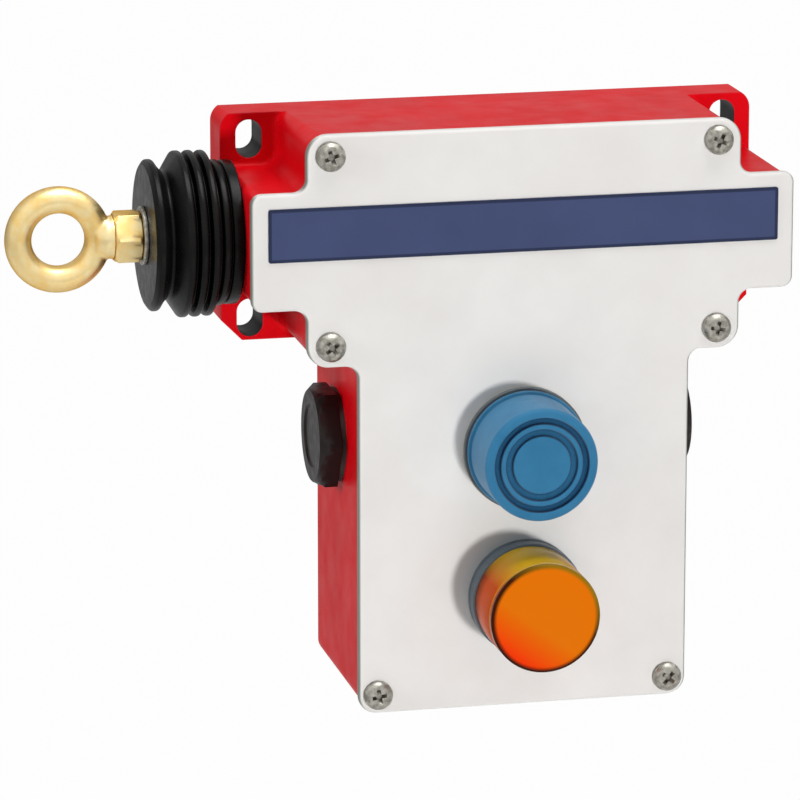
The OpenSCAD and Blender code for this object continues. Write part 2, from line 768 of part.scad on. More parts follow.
module mechanism_bracket() color("lightgray") {
    cheek_in = lever_w / 2 + work_gap;
    difference() {
        union() {
            layer(bracket_back, bracket_front)
                round_rect(-bracket_w / 2, -bracket_drop, bracket_w / 2, -bracket_top, 2);
            for (x = [-cheek_in - cheek_t, cheek_in])
                translate([x, 0, 0]) rotate([90, 0, 90]) linear_extrude(cheek_t) {
                    translate([-pivot_depth, -pivot_drop]) circle(hub_r);
                    translate([-pivot_depth, -pivot_drop - hub_r]) square([pivot_depth - bracket_front + eps, 2 * hub_r]);
                }
        }
        translate([-bracket_w / 2, -pivot_depth, -pivot_drop]) rotate([0, 90, 0])
            cylinder(h = bracket_w, r = pivot_r + thread_gap);
        for (p = bracket_places) bar(p, bracket_back - eps, bracket_front + eps, small_screw_r + panel_gap);
    }
}

module bracket_screws() color("silver") {
    for (p = bracket_places)
        pan_screw(p, bracket_front, small_screw_r, small_head_r, small_head_h, bracket_front - floor_t);
}

// Contact block on the left (-1) or the right (1) of the latch lever.
module contact_block(s) {
    x = s * plunger_x;
    difference() {
        layer(bracket_front, contact_front) difference() {
            round_rect(x - contact_w / 2, -contact_drop, x + contact_w / 2, -contact_top, 1);
            for (k = [-1, 1]) translate([x + k * contact_w / 2, -contact_drop + 2 * terminal_up]) square([1.6, 3], center = true);
        }
        translate([x, -rod_depth, -contact_top - plunger_l]) cylinder(h = plunger_l + eps, r = plunger_r + run_gap);
        for (k = [-1, 1]) bar([x + k * contact_w / 4, -contact_drop + terminal_up],
            contact_front - small_head_h / 2 - terminal_l, contact_front + eps, small_screw_r + thread_gap);
        for (k = [-1, 1]) bar([x + k * contact_w / 4, -contact_drop + terminal_up],
            contact_front - small_head_h / 2, contact_front + eps, small_head_r + panel_gap);
    }
}

module contact_block_left() color("whitesmoke") {
    contact_block(-1);
}

module contact_block_right() color("whitesmoke") {
    contact_block(1);
}

// Contact plunger with a round head under the cam.
module contact_plunger(s) {
    translate([s * plunger_x, -rod_depth, -plunger_top]) {
        translate([0, 0, -plunger_l]) cylinder(h = plunger_l, r = plunger_r);
        sphere(plunger_r);
    }
}

module contact_plunger_left() color("red") {
    contact_plunger(-1);
}

module contact_plunger_right() color("red") {
    contact_plunger(1);
}

module terminal_screws() color("silver") {
    for (s = [-1, 1], k = [-1, 1])
        pan_screw([s * plunger_x + k * contact_w / 4, -contact_drop + terminal_up],
            contact_front - small_head_h / 2, small_screw_r, small_head_r, small_head_h, terminal_l);
}

// ------------------------------------------------------------- reset latch

module latch_lever() color("slategray") {
    nose = carriage_front + work_gap;
    difference() {
        translate([-lever_w / 2, 0, 0]) rotate([90, 0, 90]) linear_extrude(lever_w) {
            translate([-pivot_depth, -pivot_drop]) circle(hub_r);
            translate([-pivot_depth - lever_t / 2, -reset_drop - stem_r - 1.5])
                square([lever_t, reset_drop + stem_r + 1.5 + 3]);
            translate([-pivot_depth - lever_t / 2, -3]) square([pivot_depth + lever_t / 2 - nose, 6]);
        }
        translate([-lever_w / 2 - eps, -pivot_depth, -pivot_drop]) rotate([0, 90, 0])
            cylinder(h = lever_w + 2 * eps, r = pivot_r + run_gap);
    }
}

module latch_pin() color("silver") {
    cheek_out = lever_w / 2 + work_gap + cheek_t;
    translate([-cheek_out - 0.6, -pivot_depth, -pivot_drop]) rotate([0, 90, 0])
        cylinder(h = 2 * cheek_out + 0.6 + 6, r = pivot_r);
}

module latch_spring() color("lightgray") {
    cheek_out = lever_w / 2 + work_gap + cheek_t;
    translate([cheek_out + 0.2, -pivot_depth, -pivot_drop]) rotate([0, 90, 0])
        coil(pivot_r + 1.1, 0.45, 5, 4, 12, 6);
}

// ------------------------------------------------------------ reset button

module reset_barrel() color("darkslategray") {
    place = [0, -reset_drop];
    difference() {
        union() {
            bar(place, cover_back - barrel_back, cover_front + barrel_front, barrel_r);
            bar(place, cover_front, cover_front + reset_collar_t, reset_collar_r);
        }
        bar(place, cover_back - barrel_back + barrel_floor, cover_front + barrel_front + eps, core_r + run_gap);
        bar(place, cover_back - barrel_back - eps, cover_front, stem_r + run_gap);
    }
}

module reset_nut() color("darkslategray") {
    panel_nut(reset_drop);
}

module reset_button() color("steelblue") {
    place = [0, -reset_drop];
    core_front = cover_front + boot_l - boot_t - 0.1;
    bar(place, core_front - 2, core_front, barrel_r);
    bar(place, cover_front + barrel_front - 6, core_front - 1, core_r);
    bar(place, tip_front + stem_r, core_front - 3, stem_r);
    facing(place, tip_front + stem_r) sphere(stem_r);
}

module reset_spring() color("lightgray") {
    from = cover_back - barrel_back + barrel_floor;
    facing([0, -reset_drop], from) coil(stem_r + 2.4, 0.7, cover_front + barrel_front - 6 - from, 3.5, 14, 8);
}

module reset_boot() color("steelblue") {
    depth = boot_l - reset_collar_t;
    facing([0, -reset_drop], cover_front + reset_collar_t) rotate_extrude() difference() {
        union() {
            square([boot_r, depth - boot_edge_r]);
            square([boot_r - boot_edge_r, depth]);
            translate([boot_r - boot_edge_r, depth - boot_edge_r]) circle(boot_edge_r);
            square([reset_collar_r - 0.6, 1.4]);
        }
        translate([0, -eps]) square([boot_r - boot_t, depth - boot_t + eps]);
        for (ring = [[boot_ring_r + 1.5, 1.6], [boot_ring_r - 1.8, 2]])
            translate([ring[0] - ring[1] / 2, depth - 0.8]) square([ring[1], 2]);
    }
}

// ------------------------------------------------------------- pilot light

module pilot_bezel() color("dimgray") {
    place = [0, -pilot_drop];
    difference() {
        union() {
            bar(place, cover_back - panel_nut_t - 4, cover_front + eps, barrel_r);
            bar(place, cover_front, cover_front + bezel_l, bezel_r);
        }
        bar(place, cover_back - panel_nut_t - 4 - eps, cover_front + bezel_l + eps, barrel_r - 2.4);
        bar(place, cover_front + bezel_l - 3, cover_front + bezel_l + eps, lens_r - lens_t + thread_gap);
    }
}

module pilot_nut() color("dimgray") {
    panel_nut(pilot_drop);
}

module pilot_lamp_holder() color("lightgray") {
    place = [0, -pilot_drop];
    r = barrel_r - 2.4 - thread_gap;
    back = cover_back - holder_l;
    difference() {
        union() {
            bar(place, back, cover_front + 2, r);
            bar(place, back, cover_back - panel_nut_t - 4, barrel_r);
        }
        bar(place, cover_front - 6, cover_front + 2 + eps, lamp_r + thread_gap);
    }
    for (s = [-1, 1]) translate([s * tab_x - tab_t / 2, -back - eps, -pilot_drop - tab_w / 2])
        cube([tab_t, tab_l + eps, tab_w]);
}

module pilot_lamp() color("white") {
    place = [0, -pilot_drop];
    bar(place, cover_front - 6, cover_front + lamp_front - lamp_r, lamp_r);
    facing(place, cover_front + lamp_front - lamp_r) sphere(lamp_r);
}

module pilot_lens() color("orange") {
    depth = lens_front - bezel_l;
    facing([0, -pilot_drop], cover_front + bezel_l) rotate_extrude() difference() {
        union() {
            square([lens_r, depth - lens_edge_r]);
            square([lens_r - lens_edge_r, depth]);
            translate([lens_r - lens_edge_r, depth - lens_edge_r]) circle(lens_edge_r);
            translate([0, -2.6]) square([lens_r - lens_t, 3]);
        }
        translate([0, -3]) square([lens_r - 2 * lens_t, depth - lens_t + 3]);
    }
}

// ----------------------------------------------- plugs, seals and earthing

// Hexagonal blanking plug, pointing outwards along Z from its seal.
module plug_solid() {
    r = plug_flats / sqrt(3);
    intersection() {
        cylinder(h = plug_head_h, r = r, $fn = 6);
        union() {
            cylinder(h = plug_head_h - 2.4, r = r);
            translate([0, 0, plug_head_h - 2.4]) cylinder(h = 2.4, r1 = r, r2 = r - 3.6);
        }
    }
    difference() {
        translate([0, 0, -seal_t - entry_l + 1]) cylinder(h = seal_t + entry_l - 1 + 0.5, r = entry_r - thread_gap);
        translate([0, 0, -seal_t - entry_l]) cylinder(h = entry_l - 2, r = entry_r - 2.5);
    }
}

// Places a solid made round Z on a side entry, on the left (-1) or the right (1).
module on_side(s) {
    outer = body_w / 2 - plate_lip + seal_t;
    translate([s * outer, -side_entry_depth, -side_entry_drop]) rotate([0, s * 90, 0]) children();
}

module left_plug() color("black") {
    on_side(-1) plug_solid();
}

module right_plug() color("black") {
    on_side(1) plug_solid();
}

module plug_seals() color("dimgray") {
    for (s = [-1, 1]) on_side(s) translate([0, 0, -seal_t]) difference() {
        cylinder(h = seal_t, r = plug_flats / 2);
        translate([0, 0, -eps]) cylinder(h = seal_t + 2 * eps, r = entry_r + thread_gap);
    }
}

module earth_screw() color("silver") {
    pan_screw(earth_place, floor_t + earth_boss_h + 1, screw_r, screw_head_r, screw_head_h, earth_boss_h + 1);
}

module earth_clamp() color("gold") {
    layer(floor_t + earth_boss_h, floor_t + earth_boss_h + 1) translate(earth_place) difference() {
        round_rect(-5, -5, 5, 5, 1);
        circle(screw_r + panel_gap);
    }
}

housing();
cover_gasket();
front_cover();
label_strip();
cover_screws();
bellows();
pull_rod();
eyebolt();
lock_nut();
rod_washer();
left_guide_bush();
right_guide_bush();
cam_carriage();
carriage_pin();
spring_collars();
tension_spring();
slack_spring();
mechanism_bracket();
bracket_screws();
contact_block_left();
contact_block_right();
contact_plunger_left();
contact_plunger_right();
terminal_screws();
latch_lever();
latch_pin();
latch_spring();
reset_barrel();
reset_nut();
reset_button();
reset_spring();
reset_boot();
pilot_bezel();
pilot_nut();
pilot_lamp_holder();
pilot_lamp();
pilot_lens();
left_plug();
right_plug();
plug_seals();
earth_screw();
earth_clamp();
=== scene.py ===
"""Looks of a wall-mounted rope pull safety switch, built around its packed mechanical frame.

Fields of the classes are lengths in millimetres and angles in degrees, and the scene is in metres.
X runs along the rope, Y points back into the wall and Z points up. A depth is counted forward from
the mounting plane, so it is minus Y.
"""

from __future__ import annotations

import json
import logging
import math
from collections.abc import Callable
from dataclasses import dataclass, field, replace
from enum import Enum

import bmesh
import bpy
from mathutils import Matrix, Vector

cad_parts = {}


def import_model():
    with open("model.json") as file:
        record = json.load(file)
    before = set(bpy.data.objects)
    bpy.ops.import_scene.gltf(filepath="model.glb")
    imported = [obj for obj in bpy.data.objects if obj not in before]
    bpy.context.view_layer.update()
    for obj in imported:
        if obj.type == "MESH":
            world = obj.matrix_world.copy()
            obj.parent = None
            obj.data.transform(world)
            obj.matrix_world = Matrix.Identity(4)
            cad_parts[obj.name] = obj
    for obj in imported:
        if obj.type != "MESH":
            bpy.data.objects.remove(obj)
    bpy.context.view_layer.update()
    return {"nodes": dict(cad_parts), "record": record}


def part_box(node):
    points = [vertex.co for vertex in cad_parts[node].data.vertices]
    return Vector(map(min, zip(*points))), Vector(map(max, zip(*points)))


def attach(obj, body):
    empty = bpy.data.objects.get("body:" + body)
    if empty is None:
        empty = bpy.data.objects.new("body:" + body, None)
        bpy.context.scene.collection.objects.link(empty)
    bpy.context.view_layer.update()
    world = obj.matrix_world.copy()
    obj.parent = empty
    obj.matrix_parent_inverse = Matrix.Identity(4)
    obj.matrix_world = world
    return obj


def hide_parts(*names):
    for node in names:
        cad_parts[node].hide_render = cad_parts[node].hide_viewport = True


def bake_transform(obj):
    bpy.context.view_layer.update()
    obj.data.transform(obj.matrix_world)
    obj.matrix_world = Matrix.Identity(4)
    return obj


LOG = logging.getLogger("rope_pull_switch")
MM = 0.001
WHITE = (1.0, 1.0, 1.0, 1.0)
ORIGIN = Matrix.Identity(4)
WELD = 1e-6  # Corners closer than this, in metres, become one.
AXIS = 1e-6  # A radius below this, in millimetres, lies on the axis.
STRAIGHT = 1e-3  # A corner that turns less than this, in radians, is left as it is.
NEARLY_HALF = 0.49  # Largest share of an edge that one rounded corner takes.
FLAT = 0.9999  # A face whose direction comes this close to the front or back is flat.
PATCH_SPAN = (0.35, 0.65)  # The part of a pattern over which two shades blend.
GLOSS_SPAN = (0.3, 0.7)  # The part of a pattern over which the gloss varies.
EDGE_SPAN = (0.995, 0.90)  # Cosines of the turn at which an edge starts to show and shows fully.
RAYS = 8  # Rays that look for an edge or a shut place from one spot.
Node = bpy.types.Node
NodeTree = bpy.types.NodeTree
Socket = bpy.types.NodeSocket
BMesh = bmesh.types.BMesh
Point = tuple[float, float]
Corner = tuple[float, float, float]
Colour = tuple[float, float, float, float]
Reach = Callable[[float, float, float], float]


# ------------------------------------------------------------------ materials


def linear(code: str) -> Colour:
    """Turns an sRGB hex colour into linear light.

    Args:
        code: The colour as #RRGGBB.

    Returns:
        Red, green and blue in linear light, and an alpha of one.
    """
    parts = [int(code[i:i + 2], 16) / 255 for i in (1, 3, 5)]
    red, green, blue = (p / 12.92 if p <= 0.04045 else ((p + 0.055) / 1.055) ** 2.4 for p in parts)
    return (red, green, blue, 1.0)


def add(tree: NodeTree, kind: str, inputs: dict | None = None, **settings: object) -> Node:
    """Adds a shader node with its settings and links.

    Args:
        tree: The node tree that gets the node.
        kind: The node's type without its ShaderNode prefix.
        inputs: For each input, by name or number, a constant or the output that it is linked to.
        settings: Properties of the node itself.

    Returns:
        The new node.
    """
    node = tree.nodes.new("ShaderNode" + kind)
    for key, value in settings.items():
        setattr(node, key, value)
    for key, value in (inputs or {}).items():
        if isinstance(value, Socket):
            tree.links.new(value, node.inputs[key])
        else:
            node.inputs[key].default_value = value
    return node


def fresh_tree(owner: bpy.types.Material | bpy.types.World) -> NodeTree:
    """Turns on the nodes of a material or a world and empties them.

    Args:
        owner: The material or the world.

    Returns:
        Its empty node tree.
    """
    owner.use_nodes = True
    owner.node_tree.nodes.clear()
    return owner.node_tree


def noise(tree: NodeTree, where: Socket, size: float, detail: float = 2.0,
          rough: float = 0.5) -> Socket:
    """Gives a noise pattern whose patches have a real size.

    Args:
        tree: The node tree.
        where: The place on the object, in metres.
        size: The size of a patch, in millimetres.
        detail: How many finer octaves the patches carry.
        rough: How strong the finer octaves are.

    Returns:
        The pattern's value, about 0.5 on average.
    """
    return add(tree, "TexNoise", {"Vector": where, "Scale": 1 / (size * MM), "Detail": detail,
                                  "Roughness": rough}).outputs[0]


def spread(tree: NodeTree, value: Socket, low: float, high: float, to_low: float = 0.0,
           to_high: float = 1.0) -> Socket:
    """Maps a value from one span to another, and clamps it.

    Args:
        tree: The node tree.
        value: The value to map.
        low: Start of the span that is read.
        high: End of the span that is read.
        to_low: Result at the start.
        to_high: Result at the end.

    Returns:
        The mapped value.
    """
    return add(tree, "MapRange", {0: value, 1: low, 2: high, 3: to_low, 4: to_high}).outputs[0]


def blend_colours(tree: NodeTree, share: Socket | float, first: Socket | Colour,
                  second: Socket | Colour) -> Socket:
    """Mixes two colours.

    Args:
        tree: The node tree.
        share: Share of the second colour, from 0 to 1.
        first: The colour at 0.
        second: The colour at 1.

    Returns:
        The mixed colour.
    """
    return add(tree, "Mix", {0: share, 6: first, 7: second}, data_type="RGBA").outputs[2]


def maths(tree: NodeTree, operation: str, first: Socket | float,
          second: Socket | float = 0.0) -> Socket:
    """Works out one sum.

    Args:
        tree: The node tree.
        operation: The name of the operation, such as ADD.
        first: The first operand.
        second: The second operand.

    Returns:
        The result.
    """
    return add(tree, "Math", {0: first, 1: second}, operation=operation).outputs[0]


@dataclass(frozen=True)
class Finish:
    """A material and how its surface was made.

    The colour drifts between two shades in patches, the gloss varies in finer patches, and a bump
    gives the grain. An edge radius rounds the light on edges that tools or a die left soft, and an
    edge colour shows where such an edge is worn or its coat is thin, and paints a highlight along
    it. A painted shade darkens places that the sky hardly reaches, such as grooves and corners.
    """

    name: str
    colour: str
    shade: str
    patch: float = 8.0
    gloss: Point = (0.4, 0.5)
    grain: float = 0.6
    grain_height: float = 0.01
    edge: float = 0.0
    # Colour of worn edges, which also paints a highlight along them.
    edge_wear_and_highlight_colour: str = ""
    edge_wear_and_highlight_share: float = 0.5
    # Painted shade: a darker colour in places that the sky hardly reaches within this reach.
    recess_shade_reach: float = 0.0
    recess_shade_colour: str = "#000000"
    recess_shade_share: float = 0.85
    recess_shade_span: Point = (0.75, 0.25)
    metal: float = 0.0
    ior: float = 1.5
    extras: tuple[tuple[str, object], ...] = ()

    def soft_normal(self, tree: NodeTree) -> Socket:
        """Gives the surface direction with its edges rounded to the edge radius."""
        return add(tree, "Bevel", {"Radius": self.edge * MM}, samples=RAYS).outputs[0]

    def edge_wear_and_highlight_mask(self, tree: NodeTree) -> Socket:
        """Gives 1 on an edge and 0 on a flat, from how far the rounded direction turns away.

        Args:
            tree: The node tree.

        Returns:
            The share of the edge colour, of wear and painted highlight, before its own share is
            taken.
        """
        flat = add(tree, "NewGeometry").outputs["Normal"]
        turn = add(tree, "VectorMath", {0: flat, 1: self.soft_normal(tree)},
                   operation="DOT_PRODUCT")
        return spread(tree, turn.outputs["Value"], *EDGE_SPAN)

    def recess_shade_mask(self, tree: NodeTree) -> Socket:
        """Gives a share of painted shade that grows as less sky is seen within the reach."""
        sky = add(tree, "AmbientOcclusion", {"Distance": self.recess_shade_reach * MM}, samples=RAYS)
        return spread(tree, sky.outputs["AO"], *self.recess_shade_span, 0.0, self.recess_shade_share)

    def tint(self, tree: NodeTree, where: Socket) -> Socket:
        """Gives the colour with its patches, its worn edges with a painted highlight, and painted
        shade in its corners.

        Args:
            tree: The node tree.
            where: The place on the object, in metres.

        Returns:
            The colour.
        """
        pattern = noise(tree, where, self.patch, detail=4.0, rough=0.6)
        patches = spread(tree, pattern, *PATCH_SPAN)
        colour = blend_colours(tree, patches, linear(self.colour), linear(self.shade))
        # Worn edges, with a painted highlight along them.
        if self.edge and self.edge_wear_and_highlight_colour:
            share = maths(tree, "MULTIPLY", self.edge_wear_and_highlight_mask(tree), self.edge_wear_and_highlight_share)
            colour = blend_colours(tree, share, colour, linear(self.edge_wear_and_highlight_colour))
        # Painted shade in grooves and corners.
        if self.recess_shade_reach:
            colour = blend_colours(tree, self.recess_shade_mask(tree), colour, linear(self.recess_shade_colour))
        return colour

    def polish(self, tree: NodeTree, where: Socket) -> Socket:
        """Gives the roughness with its variation."""
        pattern = noise(tree, where, self.patch / 3, detail=3.0)
        return spread(tree, pattern, *GLOSS_SPAN, *self.gloss)

    def height(self, tree: NodeTree, where: Socket) -> Socket:
        """Gives the height of the grain, from 0 to 1."""
        return noise(tree, where, self.grain)

    def relief(self, tree: NodeTree, where: Socket) -> Socket:
        """Gives the surface direction with the grain and the soft edges in it.

        Args:
            tree: The node tree.
            where: The place on the object, in metres.

        Returns:
            The direction for the shader's normal.
        """
        inputs: dict = {"Height": self.height(tree, where), "Distance": self.grain_height * MM,
                        "Strength": 1.0}
        if self.edge:
            inputs["Normal"] = self.soft_normal(tree)
        return add(tree, "Bump", inputs).outputs[0]

    def build(self) -> bpy.types.Material:
        """Makes the material with its nodes.

        Returns:
            The new material.
        """
        material = bpy.data.materials.new(self.name)
        tree = fresh_tree(material)
        where = add(tree, "TexCoord").outputs["Object"]
        shader = add(tree, "BsdfPrincipled", {
            "Base Color": self.tint(tree, where), "Roughness": self.polish(tree, where),
            "Normal": self.relief(tree, where), "Metallic": self.metal, **dict(self.extras)})
        if not self.metal:
            shader.inputs["IOR"].default_value = self.ior
        add(tree, "OutputMaterial", {0: shader.outputs[0]})
        return material


@dataclass(frozen=True)
class PowderCoat(Finish):
    """Baked powder on a casting: orange peel under a semi-gloss skin, over the sand of the die.

    The walls of the deep slots for the fixing screws get a painted dark shade.
    """

    die_texture: float = 2.6
    peel_share: float = 0.45
    slot_x: float = 67.0
    slot_rows: Point = (22.8, -27.2)
    slot_reach: Point = (4.0, 5.7)
    # Painted shade on the walls of the fixing slots.
    slot_shade_colour: str = "#080303"
    across_slot: float = 0.6

    def slot_shade_mask(self, tree: NodeTree, where: Socket) -> Socket:
        """Gives 1 on the walls of the four fixing slots, where shade is painted, and 0 elsewhere.

        Args:
            tree: The node tree.
            where: The place on the object, in metres.

        Returns:
            The mask.
        """
        place = add(tree, "SeparateXYZ", {0: where}).outputs
        normal = add(tree, "NewGeometry").outputs["Normal"]
        turn = add(tree, "SeparateXYZ", {0: normal}).outputs
        off_x = maths(tree, "SUBTRACT", maths(tree, "ABSOLUTE", place[0]), self.slot_x * MM)
        off_z = [maths(tree, "ABSOLUTE", maths(tree, "SUBTRACT", place[2], row * MM))
                 for row in self.slot_rows]
        near_x = maths(tree, "LESS_THAN", maths(tree, "ABSOLUTE", off_x), self.slot_reach[0] * MM)
        near_z = maths(tree, "LESS_THAN", maths(tree, "MINIMUM", *off_z), self.slot_reach[1] * MM)
        wall = maths(tree, "LESS_THAN", maths(tree, "ABSOLUTE", turn[1]), self.across_slot)
        return maths(tree, "MULTIPLY", maths(tree, "MULTIPLY", near_x, near_z), wall)

    def tint(self, tree: NodeTree, where: Socket) -> Socket:
        """Gives the powder's colour, with painted shade on the walls of the slots."""
        return blend_colours(tree, self.slot_shade_mask(tree, where), super().tint(tree, where),
                             linear(self.slot_shade_colour))

    def height(self, tree: NodeTree, where: Socket) -> Socket:
        """Gives orange peel with the slower waves of the casting under it.

        Args:
            tree: The node tree.
            where: The place on the object, in metres.

        Returns:
            The height, from 0 to a little over 1.
        """
        peel = noise(tree, where, self.grain, detail=1.0)
        waves = noise(tree, where, self.die_texture)
        return maths(tree, "ADD", maths(tree, "MULTIPLY", peel, self.peel_share), waves)


@dataclass(frozen=True)
class PlatedMetal(Finish):
    """Metal under a thin plated layer: cloudy patches, and fine scratches along one direction."""

    scratch_length: float = 5.0
    scratch_width: float = 0.12
    scratch_share: float = 0.5
    scratch_turn: Corner = (0.3, 0.2, 0.5)

    def height(self, tree: NodeTree, where: Socket) -> Socket:
        """Gives scratches that run one way, over a fine grain.

        Args:
            tree: The node tree.
            where: The place on the object, in metres.

        Returns:
            The height, from 0 to a little over 1.
        """
        stretch = self.scratch_width / self.scratch_length
        along = add(tree, "Mapping", {0: where, 2: self.scratch_turn, 3: (stretch, 1.0, 1.0)})
        scratches = noise(tree, along.outputs[0], self.scratch_width, detail=1.0)
        grain = noise(tree, where, self.grain)
        return maths(tree, "ADD", maths(tree, "MULTIPLY", scratches, self.scratch_share), grain)


@dataclass(frozen=True)
class SheetLacquer(Finish):
    """Lacquer baked on a cut sheet: even on the front, with painted grey shade on its upright
    edges.
    """

    # Painted grey shade on the sheet's upright edges.
    edge_shade_colour: str = "#7F857C"
    edge_shade_span: Point = (0.35, 0.8)

    def tint(self, tree: NodeTree, where: Socket) -> Socket:
        """Gives the lacquer's colour, with painted grey shade on its upright edges.

        Args:
            tree: The node tree.
            where: The place on the object, in metres.

        Returns:
            The colour.
        """
        turn = add(tree, "SeparateXYZ", {0: add(tree, "NewGeometry").outputs["Normal"]}).outputs[0]
        edge = spread(tree, maths(tree, "ABSOLUTE", turn), *self.edge_shade_span)
        return blend_colours(tree, edge, super().tint(tree, where), linear(self.edge_shade_colour))


@dataclass(frozen=True)
class PrintedFilm(Finish):
    """Polyester film printed in one colour, with a darker line just inside its cut edge."""

    line_colour: str = "#22283F"
    line_inset: float = 0.25
    line_width: float = 0.55
    line_fade: float = 0.15
    line_share: float = 0.8
    low: Point = (0.0, 0.0)
    high: Point = (0.0, 0.0)

    def tint(self, tree: NodeTree, where: Socket) -> Socket:
        """Gives the printed colour with the line round it.

        Args:
            tree: The node tree.
            where: The place on the object, in metres.

        Returns:
            The colour.
        """
        colour = super().tint(tree, where)
        place = add(tree, "SeparateXYZ", {0: where})
        nearest: Socket | None = None
        for axis, low, high in ((0, self.low[0], self.high[0]), (2, self.low[1], self.high[1])):
            middle, half = (low + high) / 2 * MM, (high - low) / 2 * MM
            off = maths(tree, "ABSOLUTE", maths(tree, "SUBTRACT", place.outputs[axis], middle))
            inside = maths(tree, "SUBTRACT", half, off)
            nearest = inside if nearest is None else maths(tree, "MINIMUM", nearest, inside)
        start = self.line_inset * MM
        end = start + self.line_width * MM
        line = spread(tree, nearest, end, end + self.line_fade * MM, 1.0, 0.0)
        return blend_colours(tree, maths(tree, "MULTIPLY", line, self.line_share), colour,
                             linear(self.line_colour))


@dataclass(frozen=True)
class AmberLens(Finish):
    """Clear amber polycarbonate: painted brown shade along the wall, bright in front, a painted
    dark rim.

    The brown of the wall, darker towards its back, and the dark rim are painted shade, and the face
    gets a painted warmer light towards the lower left. Light that enters from above leaves through
    the top of the wall and through a fine line near the face, so both get a painted yellow light,
    and the upper right of the rim gets a painted highlight in that yellow. A span gives where a
    blend starts and where it is complete.
    """

    # Painted light and shade: a brown wall that darkens towards its back, a dark rim, a warmer
    # lower left of the face, and a yellow light along the top of the wall, in the fine line and on
    # the upper right of the rim.
    wall_shade_colour: str = "#BE4600"
    back_shade_colour: str = "#5E2400"
    rim_shade_colour: str = "#3A1400"
    warm_light_colour: str = "#EE3600"
    painted_light_colour: str = "#CFA420"
    centre: Point = (0.0, 0.0)
    front: float = 83.0
    back: float = 64.0
    back_fade: float = 6.0
    line_at: float = 80.4
    line_half: float = 0.5
    line_share: float = 0.55
    rim_span: Point = (13.5, 14.5)
    warm_lean: float = 0.75
    warm_span: Point = (-4.0, -16.5)
    lit_rim_span: Point = (4.0, 16.0)
    lit_rim_share: float = 0.4
    lit_wall_span: Point = (8.0, 14.5)
    wall_span: Point = (0.8, 1.3)

    def face(self, tree: NodeTree, place: Node) -> Socket:
        """Gives the front disc with a painted warmer light to the lower left, and the painted dark
        rim round it with a painted highlight on its upper right.

        Args:
            tree: The node tree.
            place: The place on the object, split into its coordinates.

        Returns:
            The colour of the face.
        """
        across = maths(tree, "SUBTRACT", place.outputs[0], self.centre[0] * MM)
        up = maths(tree, "SUBTRACT", place.outputs[2], self.centre[1] * MM)
        radius = maths(tree, "SQRT", maths(tree, "ADD", maths(tree, "MULTIPLY", across, across),
                                          maths(tree, "MULTIPLY", up, up)))
        slant = maths(tree, "ADD", maths(tree, "MULTIPLY", across, self.warm_lean), up)
        warm = spread(tree, slant, self.warm_span[0] * MM, self.warm_span[1] * MM)
        colour = blend_colours(tree, warm, linear(self.colour), linear(self.warm_light_colour))
        lit = spread(tree, slant, self.lit_rim_span[0] * MM, self.lit_rim_span[1] * MM, 0.0,
                     self.lit_rim_share)
        ring = blend_colours(tree, lit, linear(self.rim_shade_colour), linear(self.painted_light_colour))
        rim = spread(tree, radius, self.rim_span[0] * MM, self.rim_span[1] * MM)
        return blend_colours(tree, rim, colour, ring)

    def wall(self, tree: NodeTree, place: Node, depth: Socket) -> Socket:
        """Gives the wall in painted shade, darker towards its back, with a painted yellow light
        along its top and in the fine line.

        Args:
            tree: The node tree.
            place: The place on the object, split into its coordinates.
            depth: How far forward of the mounting plane the place is, in metres.

        Returns:
            The colour of the wall.
        """
        forward = spread(tree, depth, self.back * MM, (self.back + self.back_fade) * MM)
        colour = blend_colours(tree, forward, linear(self.back_shade_colour), linear(self.wall_shade_colour))
        up = maths(tree, "SUBTRACT", place.outputs[2], self.centre[1] * MM)
        lit = spread(tree, up, self.lit_wall_span[0] * MM, self.lit_wall_span[1] * MM)
        colour = blend_colours(tree, lit, colour, linear(self.painted_light_colour))
        off = maths(tree, "ABSOLUTE", maths(tree, "SUBTRACT", depth, self.line_at * MM))
        line = spread(tree, off, self.line_half * MM, 0.5 * self.line_half * MM, 0.0,
                      self.line_share)
        return blend_colours(tree, line, colour, linear(self.painted_light_colour))

    def tint(self, tree: NodeTree, where: Socket) -> Socket:
        """Gives the face, and the wall behind it.

        Args:
            tree: The node tree.
            where: The place on the object, in metres.

        Returns:
            The colour.
        """
        place = add(tree, "SeparateXYZ", {0: where})
        depth = maths(tree, "MULTIPLY", place.outputs[1], -1.0)
        behind = spread(tree, depth, (self.front - self.wall_span[0]) * MM,
                        (self.front - self.wall_span[1]) * MM)
        return blend_colours(tree, behind, self.face(tree, place), self.wall(tree, place, depth))


class Slot(Enum):
    """The record's material slots."""

    CASTING = "red_casting"
    GASKET = "grey_rubber"
    COVER = "cover_paint"
    STRIP = "blue_strip"
    ZINC = "zinc_steel"
    RUBBER = "black_rubber"
    YELLOW_ZINC = "yellow_zinc"
    BRONZE = "bronze"
    CARRIAGE = "orange_plastic"
    SPRING = "spring_steel"
    CONTACT = "white_plastic"
    PLUNGER = "red_plastic"
    BARREL = "dark_plastic"
    BUTTON = "blue_plastic"
    BOOT = "blue_rubber"
    BEZEL = "grey_plastic"
    LAMP = "lamp_glass"
    LENS = "amber_lens"
    PLUG = "black_plastic"


